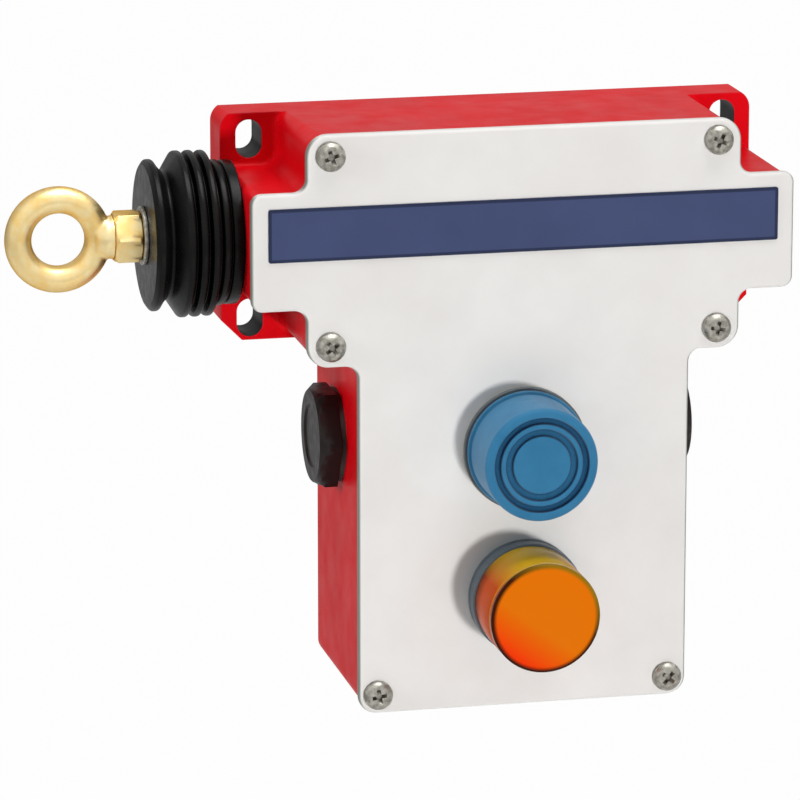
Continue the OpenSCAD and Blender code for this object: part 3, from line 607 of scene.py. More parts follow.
FINISHES: dict[Slot, Finish] = {
    # Die-cast zinc under red polyester powder: saturated, semi-gloss, pale where it thins on edges,
    # with a painted highlight there; the walls of the fixing slots get painted shade.
    Slot.CASTING: PowderCoat(
        "red_powder_coat_on_zinc_casting", "#DE0A18", "#D40512", 26.0, (0.32, 0.44), grain=0.9,
        grain_height=0.018, edge=0.6, edge_wear_and_highlight_colour="#F06070", edge_wear_and_highlight_share=0.25,
        extras=(("Specular IOR Level", 0.07),)),
    # Cut nitrile sheet: dull grey-green edge between the cover and the casting.
    Slot.GASKET: Finish(
        "cut_grey_nitrile_sheet", "#444D49", "#3A423F", 5.0, (0.7, 0.85), grain=0.5,
        grain_height=0.02),
    # Steel cover under a baked off-white lacquer: satin, very faintly warm, with painted grey shade
    # on its upright cut edges.
    Slot.COVER: SheetLacquer(
        "baked_off_white_lacquer_on_steel", "#E8E6E3", "#E2DFDC", 30.0, (0.34, 0.46), grain=0.7,
        grain_height=0.004, extras=(("Specular IOR Level", 0.3),)),
    # Screen-printed polyester film: even blue under a satin top coat.
    Slot.STRIP: PrintedFilm(
        "screen_printed_blue_polyester_film", "#3F496C", "#434D71", 22.0, (0.36, 0.44), grain=0.25,
        grain_height=0.002, extras=(("Specular IOR Level", 0.15),)),
    # Turned steel with clear zinc plating: grey, cloudy, darker in its recesses.
    Slot.ZINC: PlatedMetal(
        "clear_zinc_plated_steel", "#C4C1B7", "#8D8A81", 1.4, (0.30, 0.55), grain=0.2,
        grain_height=0.012, edge=0.15, recess_shade_reach=1.2, recess_shade_colour="#26241F",
        recess_shade_span=(0.62, 0.2), metal=1.0),
    # Moulded nitrile rubber: black, with a soft streak of light along each rib and painted shade in
    # the grooves between.
    Slot.RUBBER: Finish(
        "moulded_black_nitrile_rubber", "#0A0A0A", "#111110", 9.0, (0.24, 0.34), grain=0.35,
        grain_height=0.005, recess_shade_reach=5.0, recess_shade_colour="#020202", recess_shade_share=0.9,
        recess_shade_span=(0.85, 0.35), extras=(("Specular IOR Level", 0.12),)),
    # Forged steel under yellow chromate: pale gold, browner where the film is thick, with painted
    # shade in its hollows.
    Slot.YELLOW_ZINC: PlatedMetal(
        "yellow_chromated_forged_steel", "#FFEBB4", "#FDD98C", 5.0, (0.36, 0.48), grain=0.8,
        grain_height=0.014, edge=0.3, recess_shade_reach=1.6, recess_shade_colour="#8A6224", recess_shade_share=0.5,
        metal=1.0, scratch_share=0.25, extras=(("Specular Tint", linear("#E0B060")),)),
    # Sintered bronze: warm, matt and slightly open in grain.
    Slot.BRONZE: PlatedMetal(
        "sintered_oiled_bronze", "#B98252", "#8F5F38", 3.0, (0.45, 0.6), grain=0.25,
        grain_height=0.015, metal=1.0),
    # Moulded acetal: even orange with a waxy skin.
    Slot.CARRIAGE: Finish(
        "moulded_orange_acetal", "#E07818", "#D46C10", 12.0, (0.35, 0.45), grain=0.4,
        grain_height=0.006, edge=0.25, ior=1.48),
    # Drawn spring wire, oiled: bright grey with draw marks.
    Slot.SPRING: PlatedMetal(
        "drawn_spring_steel_wire", "#B4B4B0", "#8A8A88", 2.0, (0.22, 0.4), grain=0.15,
        grain_height=0.006, metal=1.0),
    # Glass-filled polyamide: chalky white with a fine fibre grain.
    Slot.CONTACT: Finish(
        "moulded_glass_filled_polyamide", "#E4E2DA", "#D8D5CB", 9.0, (0.5, 0.62), grain=0.3,
        grain_height=0.01, edge=0.25),
    # Moulded polyamide: red and satin.
    Slot.PLUNGER: Finish(
        "moulded_red_polyamide", "#C8201C", "#B81814", 6.0, (0.4, 0.5), grain=0.3,
        grain_height=0.006, edge=0.15),
    # Moulded glass-filled polyamide: dark grey, satin.
    Slot.BARREL: Finish(
        "moulded_dark_polyamide", "#5F676A", "#575D61", 8.0, (0.42, 0.55), grain=0.4,
        grain_height=0.008, edge=0.3),
    # Moulded ABS: blue and satin, hidden under the boot.
    Slot.BUTTON: Finish(
        "moulded_blue_abs", "#2C6A9C", "#285F8E", 8.0, (0.35, 0.45), grain=0.4,
        grain_height=0.005, edge=0.2),
    # Moulded silicone: soft blue, light passes a little into it, with painted shade in its ring
    # grooves.
    Slot.BOOT: Finish(
        "moulded_blue_silicone", "#37789F", "#317198", 9.0, (0.42, 0.54), grain=0.5,
        grain_height=0.008, recess_shade_reach=3.2, recess_shade_colour="#06294D", recess_shade_share=0.95,
        recess_shade_span=(0.90, 0.58), ior=1.42,
        extras=(("Subsurface Weight", 0.06), ("Subsurface Radius", (0.4, 0.7, 1.0)),
                ("Subsurface Scale", 0.0008), ("Specular IOR Level", 0.15), ("Sheen Weight", 0.22),
                ("Sheen Roughness", 0.45))),
    # Moulded polycarbonate blend: blue-grey and satin.
    Slot.BEZEL: Finish(
        "moulded_grey_polycarbonate", "#566169", "#4E5961", 8.0, (0.38, 0.50), grain=0.4,
        grain_height=0.006, edge=0.25),
    # Blown glass with a frosted inside: pale and glossy.
    Slot.LAMP: Finish(
        "frosted_lamp_glass", "#F4F0E4", "#EAE4D4", 5.0, (0.12, 0.25), grain=0.5,
        grain_height=0.002, extras=(("Transmission Weight", 0.5),)),
    # Clear amber polycarbonate, polished in the mould: deep colour, with painted light and shade on
    # its face and wall and a painted dark rim.
    Slot.LENS: AmberLens(
        "clear_amber_polycarbonate", "#E07000", "#DA6A00", 10.0, (0.16, 0.22), grain=2.0,
        grain_height=0.001, ior=1.585, extras=(("Specular IOR Level", 0.05),)),
    # Moulded polyamide: black with a brown cast where light grazes its facets.
    Slot.PLUG: Finish(
        "moulded_black_polyamide", "#171010", "#1E1615", 7.0, (0.32, 0.45), grain=0.45,
        grain_height=0.010, edge=0.25, extras=(("Specular IOR Level", 0.25),)),
}


# --------------------------------------------------------------------- shapes


def rounded(corners: list[Corner], steps: int = 6) -> list[Point]:
    """Rounds the corners of a closed polygon.

    Args:
        corners: Each corner as its two coordinates and its radius.
        steps: How many edges a rounded corner has.

    Returns:
        The points of the rounded outline.
    """
    points: list[Point] = []
    count = len(corners)
    for i, (x, y, radius) in enumerate(corners):
        here = Vector((x, y))
        before = Vector(corners[i - 1][:2]) - here
        after = Vector(corners[(i + 1) % count][:2]) - here
        turn = math.pi - before.angle(after) if before.length and after.length else 0.0
        if radius <= 0 or turn < STRAIGHT:
            points.append((x, y))
            continue
        longest = NEARLY_HALF * min(before.length, after.length)
        reach = min(radius * math.tan(turn / 2), longest)
        true_radius = reach / math.tan(turn / 2)
        start, end = here + before.normalized() * reach, here + after.normalized() * reach
        inward = (before.normalized() + after.normalized()).normalized()
        middle = here + inward * (true_radius / math.cos(turn / 2))
        for k in range(steps + 1):
            share = k / steps
            spoke = ((start - middle) * math.sin((1 - share) * turn)
                     + (end - middle) * math.sin(share * turn))
            points.append(tuple(middle + spoke / math.sin(turn)))
    return points


def facing(x: float, depth: float, z: float) -> Matrix:
    """Gives the place of a solid made round Z that points forward from a depth."""
    spot = Matrix.Translation((x * MM, -depth * MM, z * MM))
    return spot @ Matrix.Rotation(math.pi / 2, 4, "X")


def outward(x: float, depth: float, z: float, side: int) -> Matrix:
    """Gives the place of a solid made round Z that points to the left (-1) or to the right (1)."""
    spot = Matrix.Translation((x * MM, -depth * MM, z * MM))
    return spot @ Matrix.Rotation(side * math.pi / 2, 4, "Y")


def lathe_mesh(profile: list[Point], sides: int = 96, reach: Reach | None = None) -> BMesh:
    """Turns a closed profile round Z.

    Args:
        profile: Points as height and radius, in millimetres.
        sides: How many sides a turn has.
        reach: Optional function of height, radius and angle that gives another radius.

    Returns:
        The closed mesh, in metres.
    """
    mesh = bmesh.new()
    rings = []
    for height, radius in profile:
        if radius < AXIS:
            rings.append([mesh.verts.new((0, 0, height * MM))] * sides)
            continue
        ring = []
        for k in range(sides):
            angle = 2 * math.pi * k / sides
            r = (reach(height, radius, angle) if reach else radius) * MM
            ring.append(mesh.verts.new((r * math.cos(angle), r * math.sin(angle), height * MM)))
        rings.append(ring)
    for i, ring in enumerate(rings):
        other = rings[(i + 1) % len(rings)]
        for k in range(sides):
            loop = [ring[k], ring[(k + 1) % sides], other[(k + 1) % sides], other[k]]
            unique = [v for j, v in enumerate(loop) if v not in loop[:j]]
            if len(unique) > 2 and not mesh.faces.get(unique):
                mesh.faces.new(unique)
    bmesh.ops.recalc_face_normals(mesh, faces=mesh.faces)
    return mesh


def link(name: str, data: bpy.types.ID) -> bpy.types.Object:
    """Makes an object of a mesh, curve, lamp or camera and puts it in the scene.

    Args:
        name: The object's name.
        data: What the object shows.

    Returns:
        The new object.
    """
    made = bpy.data.objects.new(name, data)
    bpy.context.scene.collection.objects.link(made)
    return made


def settle(source: bpy.types.Object) -> BMesh:
    """Gives an object's mesh with its curve or modifiers worked out, and removes the object.

    Args:
        source: The object, which is used up.

    Returns:
        The mesh, in metres.
    """
    bpy.context.view_layer.update()
    graph = bpy.context.evaluated_depsgraph_get()
    shape = bpy.data.meshes.new_from_object(source.evaluated_get(graph))
    bpy.data.objects.remove(source)
    mesh = bmesh.new()
    mesh.from_mesh(shape)
    return mesh


def place_mesh(name: str, mesh: BMesh, place: Matrix, sharp: float = 40.0) -> bpy.types.Object:
    """Makes an object of a mesh, with smooth shading up to an angle.

    Args:
        name: The object's name.
        mesh: The mesh, which is used up.
        place: Where the mesh goes.
        sharp: Edges that turn more than this many degrees stay sharp.

    Returns:
        The new object, at the origin.
    """
    mesh.transform(place)
    data = bpy.data.meshes.new(name)
    mesh.to_mesh(data)
    mesh.free()
    data.polygons.foreach_set("use_smooth", [True] * len(data.polygons))
    data.set_sharp_from_angle(angle=math.radians(sharp))
    return link(name, data)


def hexagon(flats: float, chamfer_from: float, chamfer_to: float, both: bool = False) -> Reach:
    """Gives the reach of a hexagonal bar whose corners a cone takes off at its end.

    Args:
        flats: Width across the flats.
        chamfer_from: Height where the cone starts at the corners.
        chamfer_to: Height of the end, where the cone meets the flats.
        both: Whether the other end, at height zero, has the same cone.

    Returns:
        A function of height, radius and angle that gives the radius.
    """
    corner = flats / math.sqrt(3)
    end_share, bore_share, sector = 0.97, 0.9, math.pi / 3
    slope = (corner - flats / 2 * end_share) / (chamfer_to - chamfer_from)

    def reach(height: float, radius: float, angle: float) -> float:
        """Gives the radius at one height and angle.

        Args:
            height: Height along the axis.
            radius: Radius of the profile there.
            angle: Angle round the axis, in radians.

        Returns:
            The radius.
        """
        if radius < flats / 2 * bore_share:
            return radius
        turn = (angle + sector / 2) % sector - sector / 2
        flat = flats / 2 / math.cos(turn)
        cone = corner - max(0.0, height - chamfer_from) * slope
        if both:
            cone = min(cone, corner - max(0.0, chamfer_to - chamfer_from - height) * slope)
        return min(flat, cone)

    return reach


def corner_of(node: str) -> tuple[Vector, Vector]:
    """Gives the lowest and highest corners of a frame node, in millimetres."""
    low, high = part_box(node)
    return low / MM, high / MM


@dataclass
class Workshop:
    """Holds the finished materials and reports each piece."""

    materials: dict[Slot, bpy.types.Material] = field(default_factory=dict)

    def prepare(self) -> None:
        """Makes every material once."""
        for slot, finish in FINISHES.items():
            if isinstance(finish, PrintedFilm):
                low, high = corner_of("label_strip")
                finish = replace(finish, low=(low.x, low.z), high=(high.x, high.z))
            if isinstance(finish, AmberLens):
                low, high = corner_of("pilot_lens")
                centre = ((low.x + high.x) / 2, (low.z + high.z) / 2)
                finish = replace(finish, centre=centre, front=-low.y)
            self.materials[slot] = finish.build()

    def dress(self, piece: bpy.types.Object, slot: Slot) -> None:
        """Gives a piece its material.

        Args:
            piece: The object.
            slot: The slot whose finish it takes.
        """
        if piece.material_slots:
            for entry in piece.material_slots:
                entry.material = self.materials[slot]
        else:
            piece.data.materials.append(self.materials[slot])

    def fit(self, piece: bpy.types.Object, slot: Slot, body: str, *nodes: str) -> None:
        """Dresses a new piece, puts it on its body and lets it stand for its frame nodes.

        Args:
            piece: The new object.
            slot: The slot whose finish it takes.
            body: The body that it rides on, or an empty name, which leaves it on no body.
            nodes: The frame nodes that it stands for.
        """
        self.dress(piece, slot)
        if body:
            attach(piece, body)
        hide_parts(*nodes)
        LOG.info("%s: %d faces", piece.name, len(piece.data.polygons))


# ----------------------------------------------------------------- assemblies


@dataclass
class Studio:
    """Pale floor, soft lamps and the camera.

    A level is the strength of the surroundings' light, where one is white, and a span of heights
    gives where a level starts and where it is complete.
    """

    aim: Corner = (-34.58, -58.0, -41.79)
    turn: float = 12.728
    tilt: float = 13.817
    distance: float = 1432.83
    lens: float = 239.67
    sensor: float = 36.0
    view_limit: float = 50.0
    floor_z: float = -600.0
    floor_size: float = 9000.0
    floor_colour: str = "#F4F4F4"
    floor_glow: float = 0.985
    mirrored_floor: float = 0.4
    ambient: Point = (0.112, 0.14)
    ambient_span: Point = (-0.6, 0.4)
    behind: Point = (0.25, 0.6)
    behind_span: Point = (-0.02, 0.2)
    front: Point = (0.6, 1.0)
    front_span: Point = (-0.6, 0.2)
    turning_span: Point = (0.25, -0.3)

    def camera(self) -> None:
        """Makes the camera, left of the front and a little above it."""
        turn, tilt = math.radians(self.turn), math.radians(self.tilt)
        ahead = Vector((math.sin(turn) * math.cos(tilt), math.cos(turn) * math.cos(tilt),
                        -math.sin(tilt)))
        data = bpy.data.cameras.new("camera")
        data.lens = self.lens
        data.sensor_width = self.sensor
        data.clip_end = self.view_limit
        camera = link("camera", data)
        camera.location = (Vector(self.aim) - ahead * self.distance) * MM
        camera.rotation_euler = ahead.to_track_quat("-Z", "Y").to_euler()
        bpy.context.scene.camera = camera

    def lamp(self, name: str, place: Corner, size: float, power: float,
             mirrored: bool = True) -> None:
        """Adds a square soft box that looks at the object.

        Args:
            name: The lamp's name.
            place: Its place, in metres.
            size: The length of its side, in metres.
            power: Its power, in watts.
            mirrored: Whether glossy surfaces show it.
        """
        data = bpy.data.lights.new(name, "AREA")
        data.size = size
        data.energy = power
        lamp = link(name, data)
        lamp.location = place
        lamp.visible_glossy = mirrored
        ahead = Vector(self.aim) * MM - Vector(place)
        lamp.rotation_euler = ahead.to_track_quat("-Z", "Y").to_euler()

    def seen_directly(self, tree: NodeTree) -> Socket:
        """Gives 1 for what is seen directly or through glass, and 0 for light on the object."""
        path = add(tree, "LightPath").outputs
        return maths(tree, "MAXIMUM", path["Is Camera Ray"], path["Is Transmission Ray"])

    def room(self) -> None:
        """Makes the white surroundings: plain as light, and dimmer behind in the object's gloss."""
        world = bpy.data.worlds.new("white_room")
        tree = fresh_tree(world)
        away = add(tree, "SeparateXYZ", {0: add(tree, "TexCoord").outputs["Generated"]}).outputs
        behind = spread(tree, away[2], *self.behind_span, *self.behind)
        front = spread(tree, away[2], *self.front_span, *self.front)
        turning = spread(tree, away[1], *self.turning_span)
        mirrored = add(tree, "Mix", {0: turning, 2: behind, 3: front}).outputs[0]
        plain = spread(tree, away[2], *self.ambient_span, *self.ambient)
        glossy = add(tree, "LightPath").outputs["Is Glossy Ray"]
        level = add(tree, "Mix", {0: glossy, 2: plain, 3: mirrored}).outputs[0]
        strength = maths(tree, "MAXIMUM", level, self.seen_directly(tree))
        light = add(tree, "Background", {"Color": WHITE, "Strength": strength})
        add(tree, "OutputWorld", {0: light.outputs[0]})
        bpy.context.scene.world = world

    def floor(self) -> None:
        """Lays the pale floor, which keeps a faint shadow."""
        mesh = bmesh.new()
        bmesh.ops.create_grid(mesh, x_segments=1, y_segments=1, size=self.floor_size / 2 * MM)
        ground = place_mesh("floor", mesh, Matrix.Translation((0, 0, self.floor_z * MM)))
        material = bpy.data.materials.new("matt_white_paper")
        tree = fresh_tree(material)
        paper = add(tree, "BsdfDiffuse", {"Color": linear(self.floor_colour)})
        glow = add(tree, "Emission", {"Color": WHITE, "Strength": 1.0})
        glossy = add(tree, "LightPath").outputs["Is Glossy Ray"]
        mirrored = maths(tree, "MULTIPLY", glossy, self.mirrored_floor)
        direct = maths(tree, "MULTIPLY", self.seen_directly(tree), self.floor_glow)
        share = maths(tree, "MAXIMUM", direct, mirrored)
        mix = add(tree, "MixShader", {0: share, 1: paper.outputs[0], 2: glow.outputs[0]})
        add(tree, "OutputMaterial", {0: mix.outputs[0]})
        ground.data.materials.append(material)

    def build(self) -> None:
        """Sets up the whole studio."""
        self.camera()
        self.room()
        self.floor()
        self.lamp("key", (0.30, -1.60, -0.28), size=0.12, power=14.6, mirrored=False)
        self.lamp("top", (0.15, -0.16, 0.90), size=0.6, power=6.3)
        self.lamp("left_fill", (-1.45, -0.22, 0.45), size=0.6, power=10.5, mirrored=False)
        bpy.context.scene.view_settings.view_transform = "Standard"


@dataclass
class CoverPlate:
    """The lacquered cover: one sheet with a rolled edge, pierced for its screws and two units."""

    block_half: float = 60.0
    block_drop: float = 32.0
    body_half: float = 46.0
    wing_half_h: float = 16.0
    block_r: float = 6.0
    wing_r: float = 3.0
    body_r: float = 5.0
    inner_r: float = 3.5
    edge_r: float = 1.0
    screw_hole_r: float = 2.25
    unit_hole_r: float = 11.25
    unit_drops: Point = (57.0, 98.2)
    screw_head_r: float = 4.0
    middle_screw_drop: float = 26.2
    lower_screw_half: float = 40.7
    hole_step: int = 6
    edge_steps: int = 6

    def outline(self, low: Vector, high: Vector) -> list[Point]:
        """Gives the T-shaped outline of the plate.

        Args:
            low: The plate's lowest corner.
            high: The plate's highest corner.

        Returns:
            The outline as points of X and Z.
        """
        right = [(0.0, high.z, 0.0), (self.block_half, high.z, self.block_r),
                 (self.block_half, self.wing_half_h, self.inner_r),
                 (high.x, self.wing_half_h, self.wing_r), (high.x, -self.wing_half_h, self.wing_r),
                 (self.block_half, -self.wing_half_h, self.inner_r),
                 (self.block_half, -self.block_drop, self.block_r),
                 (self.body_half, -self.block_drop, self.inner_r),
                 (self.body_half, low.z, self.body_r), (0.0, low.z, 0.0)]
        left = [(-x, z, r) for x, z, r in reversed(right[1:-1])]
        return rounded(right + left, steps=10)

    def screw_places(self) -> list[Point]:
        """Gives the middle of each cover screw, as X and Z.

        Returns:
            The upper, the middle and the lower pair.
        """
        low, high = corner_of("cover_screws")
        half = high.x - self.screw_head_r
        upper = [(side * half, high.z - self.screw_head_r) for side in (-1, 1)]
        middle = [(side * half, -self.middle_screw_drop) for side in (-1, 1)]
        lower = [(side * self.lower_screw_half, low.z + self.screw_head_r) for side in (-1, 1)]
        return upper + middle + lower

    def build(self, shop: Workshop) -> None:
        """Cuts the plate and rolls its edges.

        Args:
            shop: The workshop that finishes it.
        """
        low, high = corner_of("front_cover")
        circle = [(math.cos(math.radians(a)), math.sin(math.radians(a)))
                  for a in range(0, 360, self.hole_step)]
        holes = [(p, self.screw_hole_r) for p in self.screw_places()]
        holes += [((0.0, -d), self.unit_hole_r) for d in self.unit_drops]
        curve = bpy.data.curves.new("cover_outline", "CURVE")
        curve.dimensions = "2D"
        curve.fill_mode = "BOTH"
        curve.extrude = ((high.y - low.y) / 2 - self.edge_r) * MM
        curve.bevel_depth = self.edge_r * MM
        curve.bevel_resolution = self.edge_steps
        curve.offset = -self.edge_r * MM
        outlines = [self.outline(low, high)]
        outlines += [[(p[0] + r * x, p[1] + r * z) for x, z in circle] for p, r in holes]
        for points in outlines:
            spline = curve.splines.new("POLY")
            spline.points.add(len(points) - 1)
            for point, (x, z) in zip(spline.points, points):
                point.co = (x * MM, z * MM, 0.0, 1.0)
            spline.use_cyclic_u = True
        mesh = settle(link("cover_outline", curve))
        bmesh.ops.remove_doubles(mesh, verts=mesh.verts, dist=WELD)
        bmesh.ops.recalc_face_normals(mesh, faces=mesh.faces)
        middle = -(low.y + high.y) / 2
        plate = place_mesh("lacquered_cover", mesh, facing(0.0, middle, 0.0), sharp=50.0)
        for polygon in plate.data.polygons:
            polygon.use_smooth = abs(polygon.normal.y) < FLAT
        shop.fit(plate, Slot.COVER, "housing", "front_cover")


@dataclass
class CoverScrews:
    """Six cross-recessed pan heads that hold the cover.

    The side and the shoulder of a head are given as shares of its height and, for the shoulder, of
    its radius.
    """

    head_r: float = 4.0
    head_h: float = 2.4
    side_share: float = 0.5
    shoulder_share: Point = (0.97, 0.72)
    dome_r: float = 1.5
    side_soft: float = 0.9
    edge_soft: float = 0.3
    shank_r: float = 2.0
    point_l: float = 1.0
    point_in: float = 0.4
    point_soft: float = 0.2
    recess_width: float = 1.05
    recess_reach: float = 2.5
    recess_depth: float = 1.6
    recess_taper: float = 0.35
    cutter_above: float = 0.5
    length: float = 14.0
    turns: tuple[float, ...] = (20.0, 65.0, 35.0, 80.0, 10.0, 50.0)

    def profile(self) -> list[Point]:
        """Gives the screw's profile: point, shank, underhead and domed head.

        Returns:
            Points as height and radius.
        """
        shoulder = (self.head_h * self.shoulder_share[0], self.head_r * self.shoulder_share[1])
        return rounded([(-self.length, 0.0, 0.0),
                        (-self.length, self.shank_r - self.point_in, self.point_soft),
                        (-self.length + self.point_l, self.shank_r, self.edge_soft),
                        (0.0, self.shank_r, 0.0), (0.0, self.head_r, self.edge_soft),
                        (self.head_h * self.side_share, self.head_r, self.side_soft),
                        (*shoulder, self.dome_r), (self.head_h, 0.0, 0.0)], steps=5)

    def recess(self) -> BMesh:
        """Makes the tapered cross that the driver leaves in the head.

        Returns:
            The cutter, in metres.
        """
        mesh = bmesh.new()
        ends = ((self.head_h + self.cutter_above, self.recess_reach),
                (self.head_h - self.recess_depth, self.recess_reach * self.recess_taper))
        for turn in (0.0, math.pi / 2):
            corners = []
            for height, reach in ends:
                for x, y in ((1, 1), (-1, 1), (-1, -1), (1, -1)):
                    place = Vector((x * reach, y * self.recess_width / 2, height)) * MM
                    corners.append(mesh.verts.new(Matrix.Rotation(turn, 3, "Z") @ place))
            top, bottom = corners[:4], corners[4:]
            mesh.faces.new(top)
            mesh.faces.new(bottom[::-1])
            for k in range(4):
                mesh.faces.new([top[k], bottom[k], bottom[(k + 1) % 4], top[(k + 1) % 4]])
        bmesh.ops.recalc_face_normals(mesh, faces=mesh.faces)
        return mesh

    def one(self, place: Matrix) -> bpy.types.Object:
        """Makes one screw at a place.

        Args:
            place: Where it goes.

        Returns:
            The screw.
        """
        screw = place_mesh("screw", lathe_mesh(self.profile(), sides=48), ORIGIN)
        cutter = place_mesh("recess", self.recess(), ORIGIN)
        cut = screw.modifiers.new("recess", "BOOLEAN")
        cut.operation = "DIFFERENCE"
        cut.object = cutter
        cut.solver = "EXACT"
        cut.use_self = True
        mesh = settle(screw)
        bpy.data.objects.remove(cutter)
        return place_mesh("screw", mesh, place, sharp=35.0)

    def build(self, shop: Workshop, plate: CoverPlate) -> None:
        """Sets the six screws, each turned to its own angle.

        Args:
            shop: The workshop that finishes them.
            plate: The cover, which says where they go.
        """
        front = -corner_of("front_cover")[0].y
        mesh = bmesh.new()
        for (x, z), turn in zip(plate.screw_places(), self.turns):
            one = self.one(facing(x, front, z) @ Matrix.Rotation(math.radians(turn), 4, "Z"))
            mesh.from_mesh(one.data)
            bpy.data.objects.remove(one)
        screws = place_mesh("cover_pan_screws", mesh, ORIGIN, sharp=35.0)
        shop.fit(screws, Slot.ZINC, "housing", "cover_screws")


@dataclass
class Bellows:
    """The rubber bellows: close round ribs, a deep waist and a wide end rib.

    A soft value is the radius of a rounded corner. The end rib's foot is given as a distance along
    the axis, a distance in from the rib's crest and a soft value, and the crest and the others as
    one distance and a soft value. A lag is the share of the wall by which the inside follows late.
    """

    flange_r: float = 19.6
    flange_t: float = 3.1
    flange_soft: Point = (0.4, 0.5)
    pitch: float = 3.35
    rib_r: tuple[float, ...] = (19.8, 22.5, 22.6, 22.6)
    rib_half: float = 0.9
    rib_narrows: float = 0.3
    rib_soft: float = 0.85
    groove_r: tuple[float, ...] = (17.8, 18.0, 19.2, 19.2)
    groove_gap: float = 0.05
    groove_soft: float = 0.3
    waist_r: float = 17.2
    waist_gap: float = 1.2
    waist_soft: float = 0.9
    end_r: float = 20.6
    end_t: float = 3.8
    end_foot: Corner = (0.3, 1.7, 0.7)
    end_crest: Point = (1.4, 0.9)
    end_edge: Point = (0.9, 0.8)
    end_lip: Point = (1.3, 0.4)
    end_inside: Point = (0.1, 0.3)
    foot_lag: float = 0.4
    crest_lag: float = 0.2
    hub: Point = (9.0, 0.5)
    hole_r: float = 6.05
    spigot_r: float = 14.0
    wall: float = 1.4

    def skin(self, length: float, inset: float) -> list[Corner]:
        """Gives the folded skin from the casting to the end.

        Args:
            length: Length of the bellows.
            inset: How far inside the outer skin it lies.

        Returns:
            Corners as distance from the casting, radius and corner radius.
        """
        flange_r = self.flange_r - inset
        corners: list[Corner] = [(0.0, flange_r, self.flange_soft[0]),
                                 (self.flange_t - inset, flange_r, self.flange_soft[1])]
        half = self.rib_half - inset * self.rib_narrows
        for i, (rib_r, groove_r) in enumerate(zip(self.rib_r, self.groove_r)):
            middle = self.flange_t + self.pitch * (i + 0.5)
            corners += [(middle - self.pitch / 2 + self.groove_gap, groove_r - inset,
                         self.groove_soft),
                        (middle - half, rib_r - inset, self.rib_soft),
                        (middle + half, rib_r - inset, self.rib_soft)]
        end = length - self.end_t
        foot, foot_in, foot_soft = self.end_foot
        crest, crest_soft = self.end_crest
        corners += [(end - self.waist_gap, self.waist_r - inset, self.waist_soft),
                    (end + foot + inset * self.foot_lag, self.end_r - foot_in - inset, foot_soft),
                    (end + crest + inset * self.crest_lag, self.end_r - inset, crest_soft)]
        if inset:
            gap, soft = self.end_inside
            return corners + [(length - inset - gap, self.end_r - inset, soft)]
        edge, edge_soft = self.end_edge
        lip, lip_soft = self.end_lip
        return corners + [(length - edge, self.end_r, edge_soft),
                          (length, self.end_r - lip, lip_soft)]

    def build(self, shop: Workshop) -> None:
        """Moulds the bellows.

        Args:
            shop: The workshop that finishes it.
        """
        low, high = corner_of("bellows")
        length = high.x - low.x
        depth = -(low.y + high.y) / 2
        inside = self.skin(length, self.wall)
        profile = [(0.0, self.spigot_r, 0.0), *self.skin(length, 0.0), (length, *self.hub),
                   (length, self.hole_r, 0.0), (length - self.wall, self.hole_r, 0.0),
                   *reversed(inside[1:]), (self.flange_t - self.wall, self.spigot_r, 0.0)]
        mesh = lathe_mesh(rounded(profile, steps=5), sides=112)
        piece = place_mesh("rubber_bellows", mesh, outward(high.x, depth, 0.0, -1), sharp=60.0)
        shop.fit(piece, Slot.RUBBER, "", "bellows")
        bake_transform(piece)


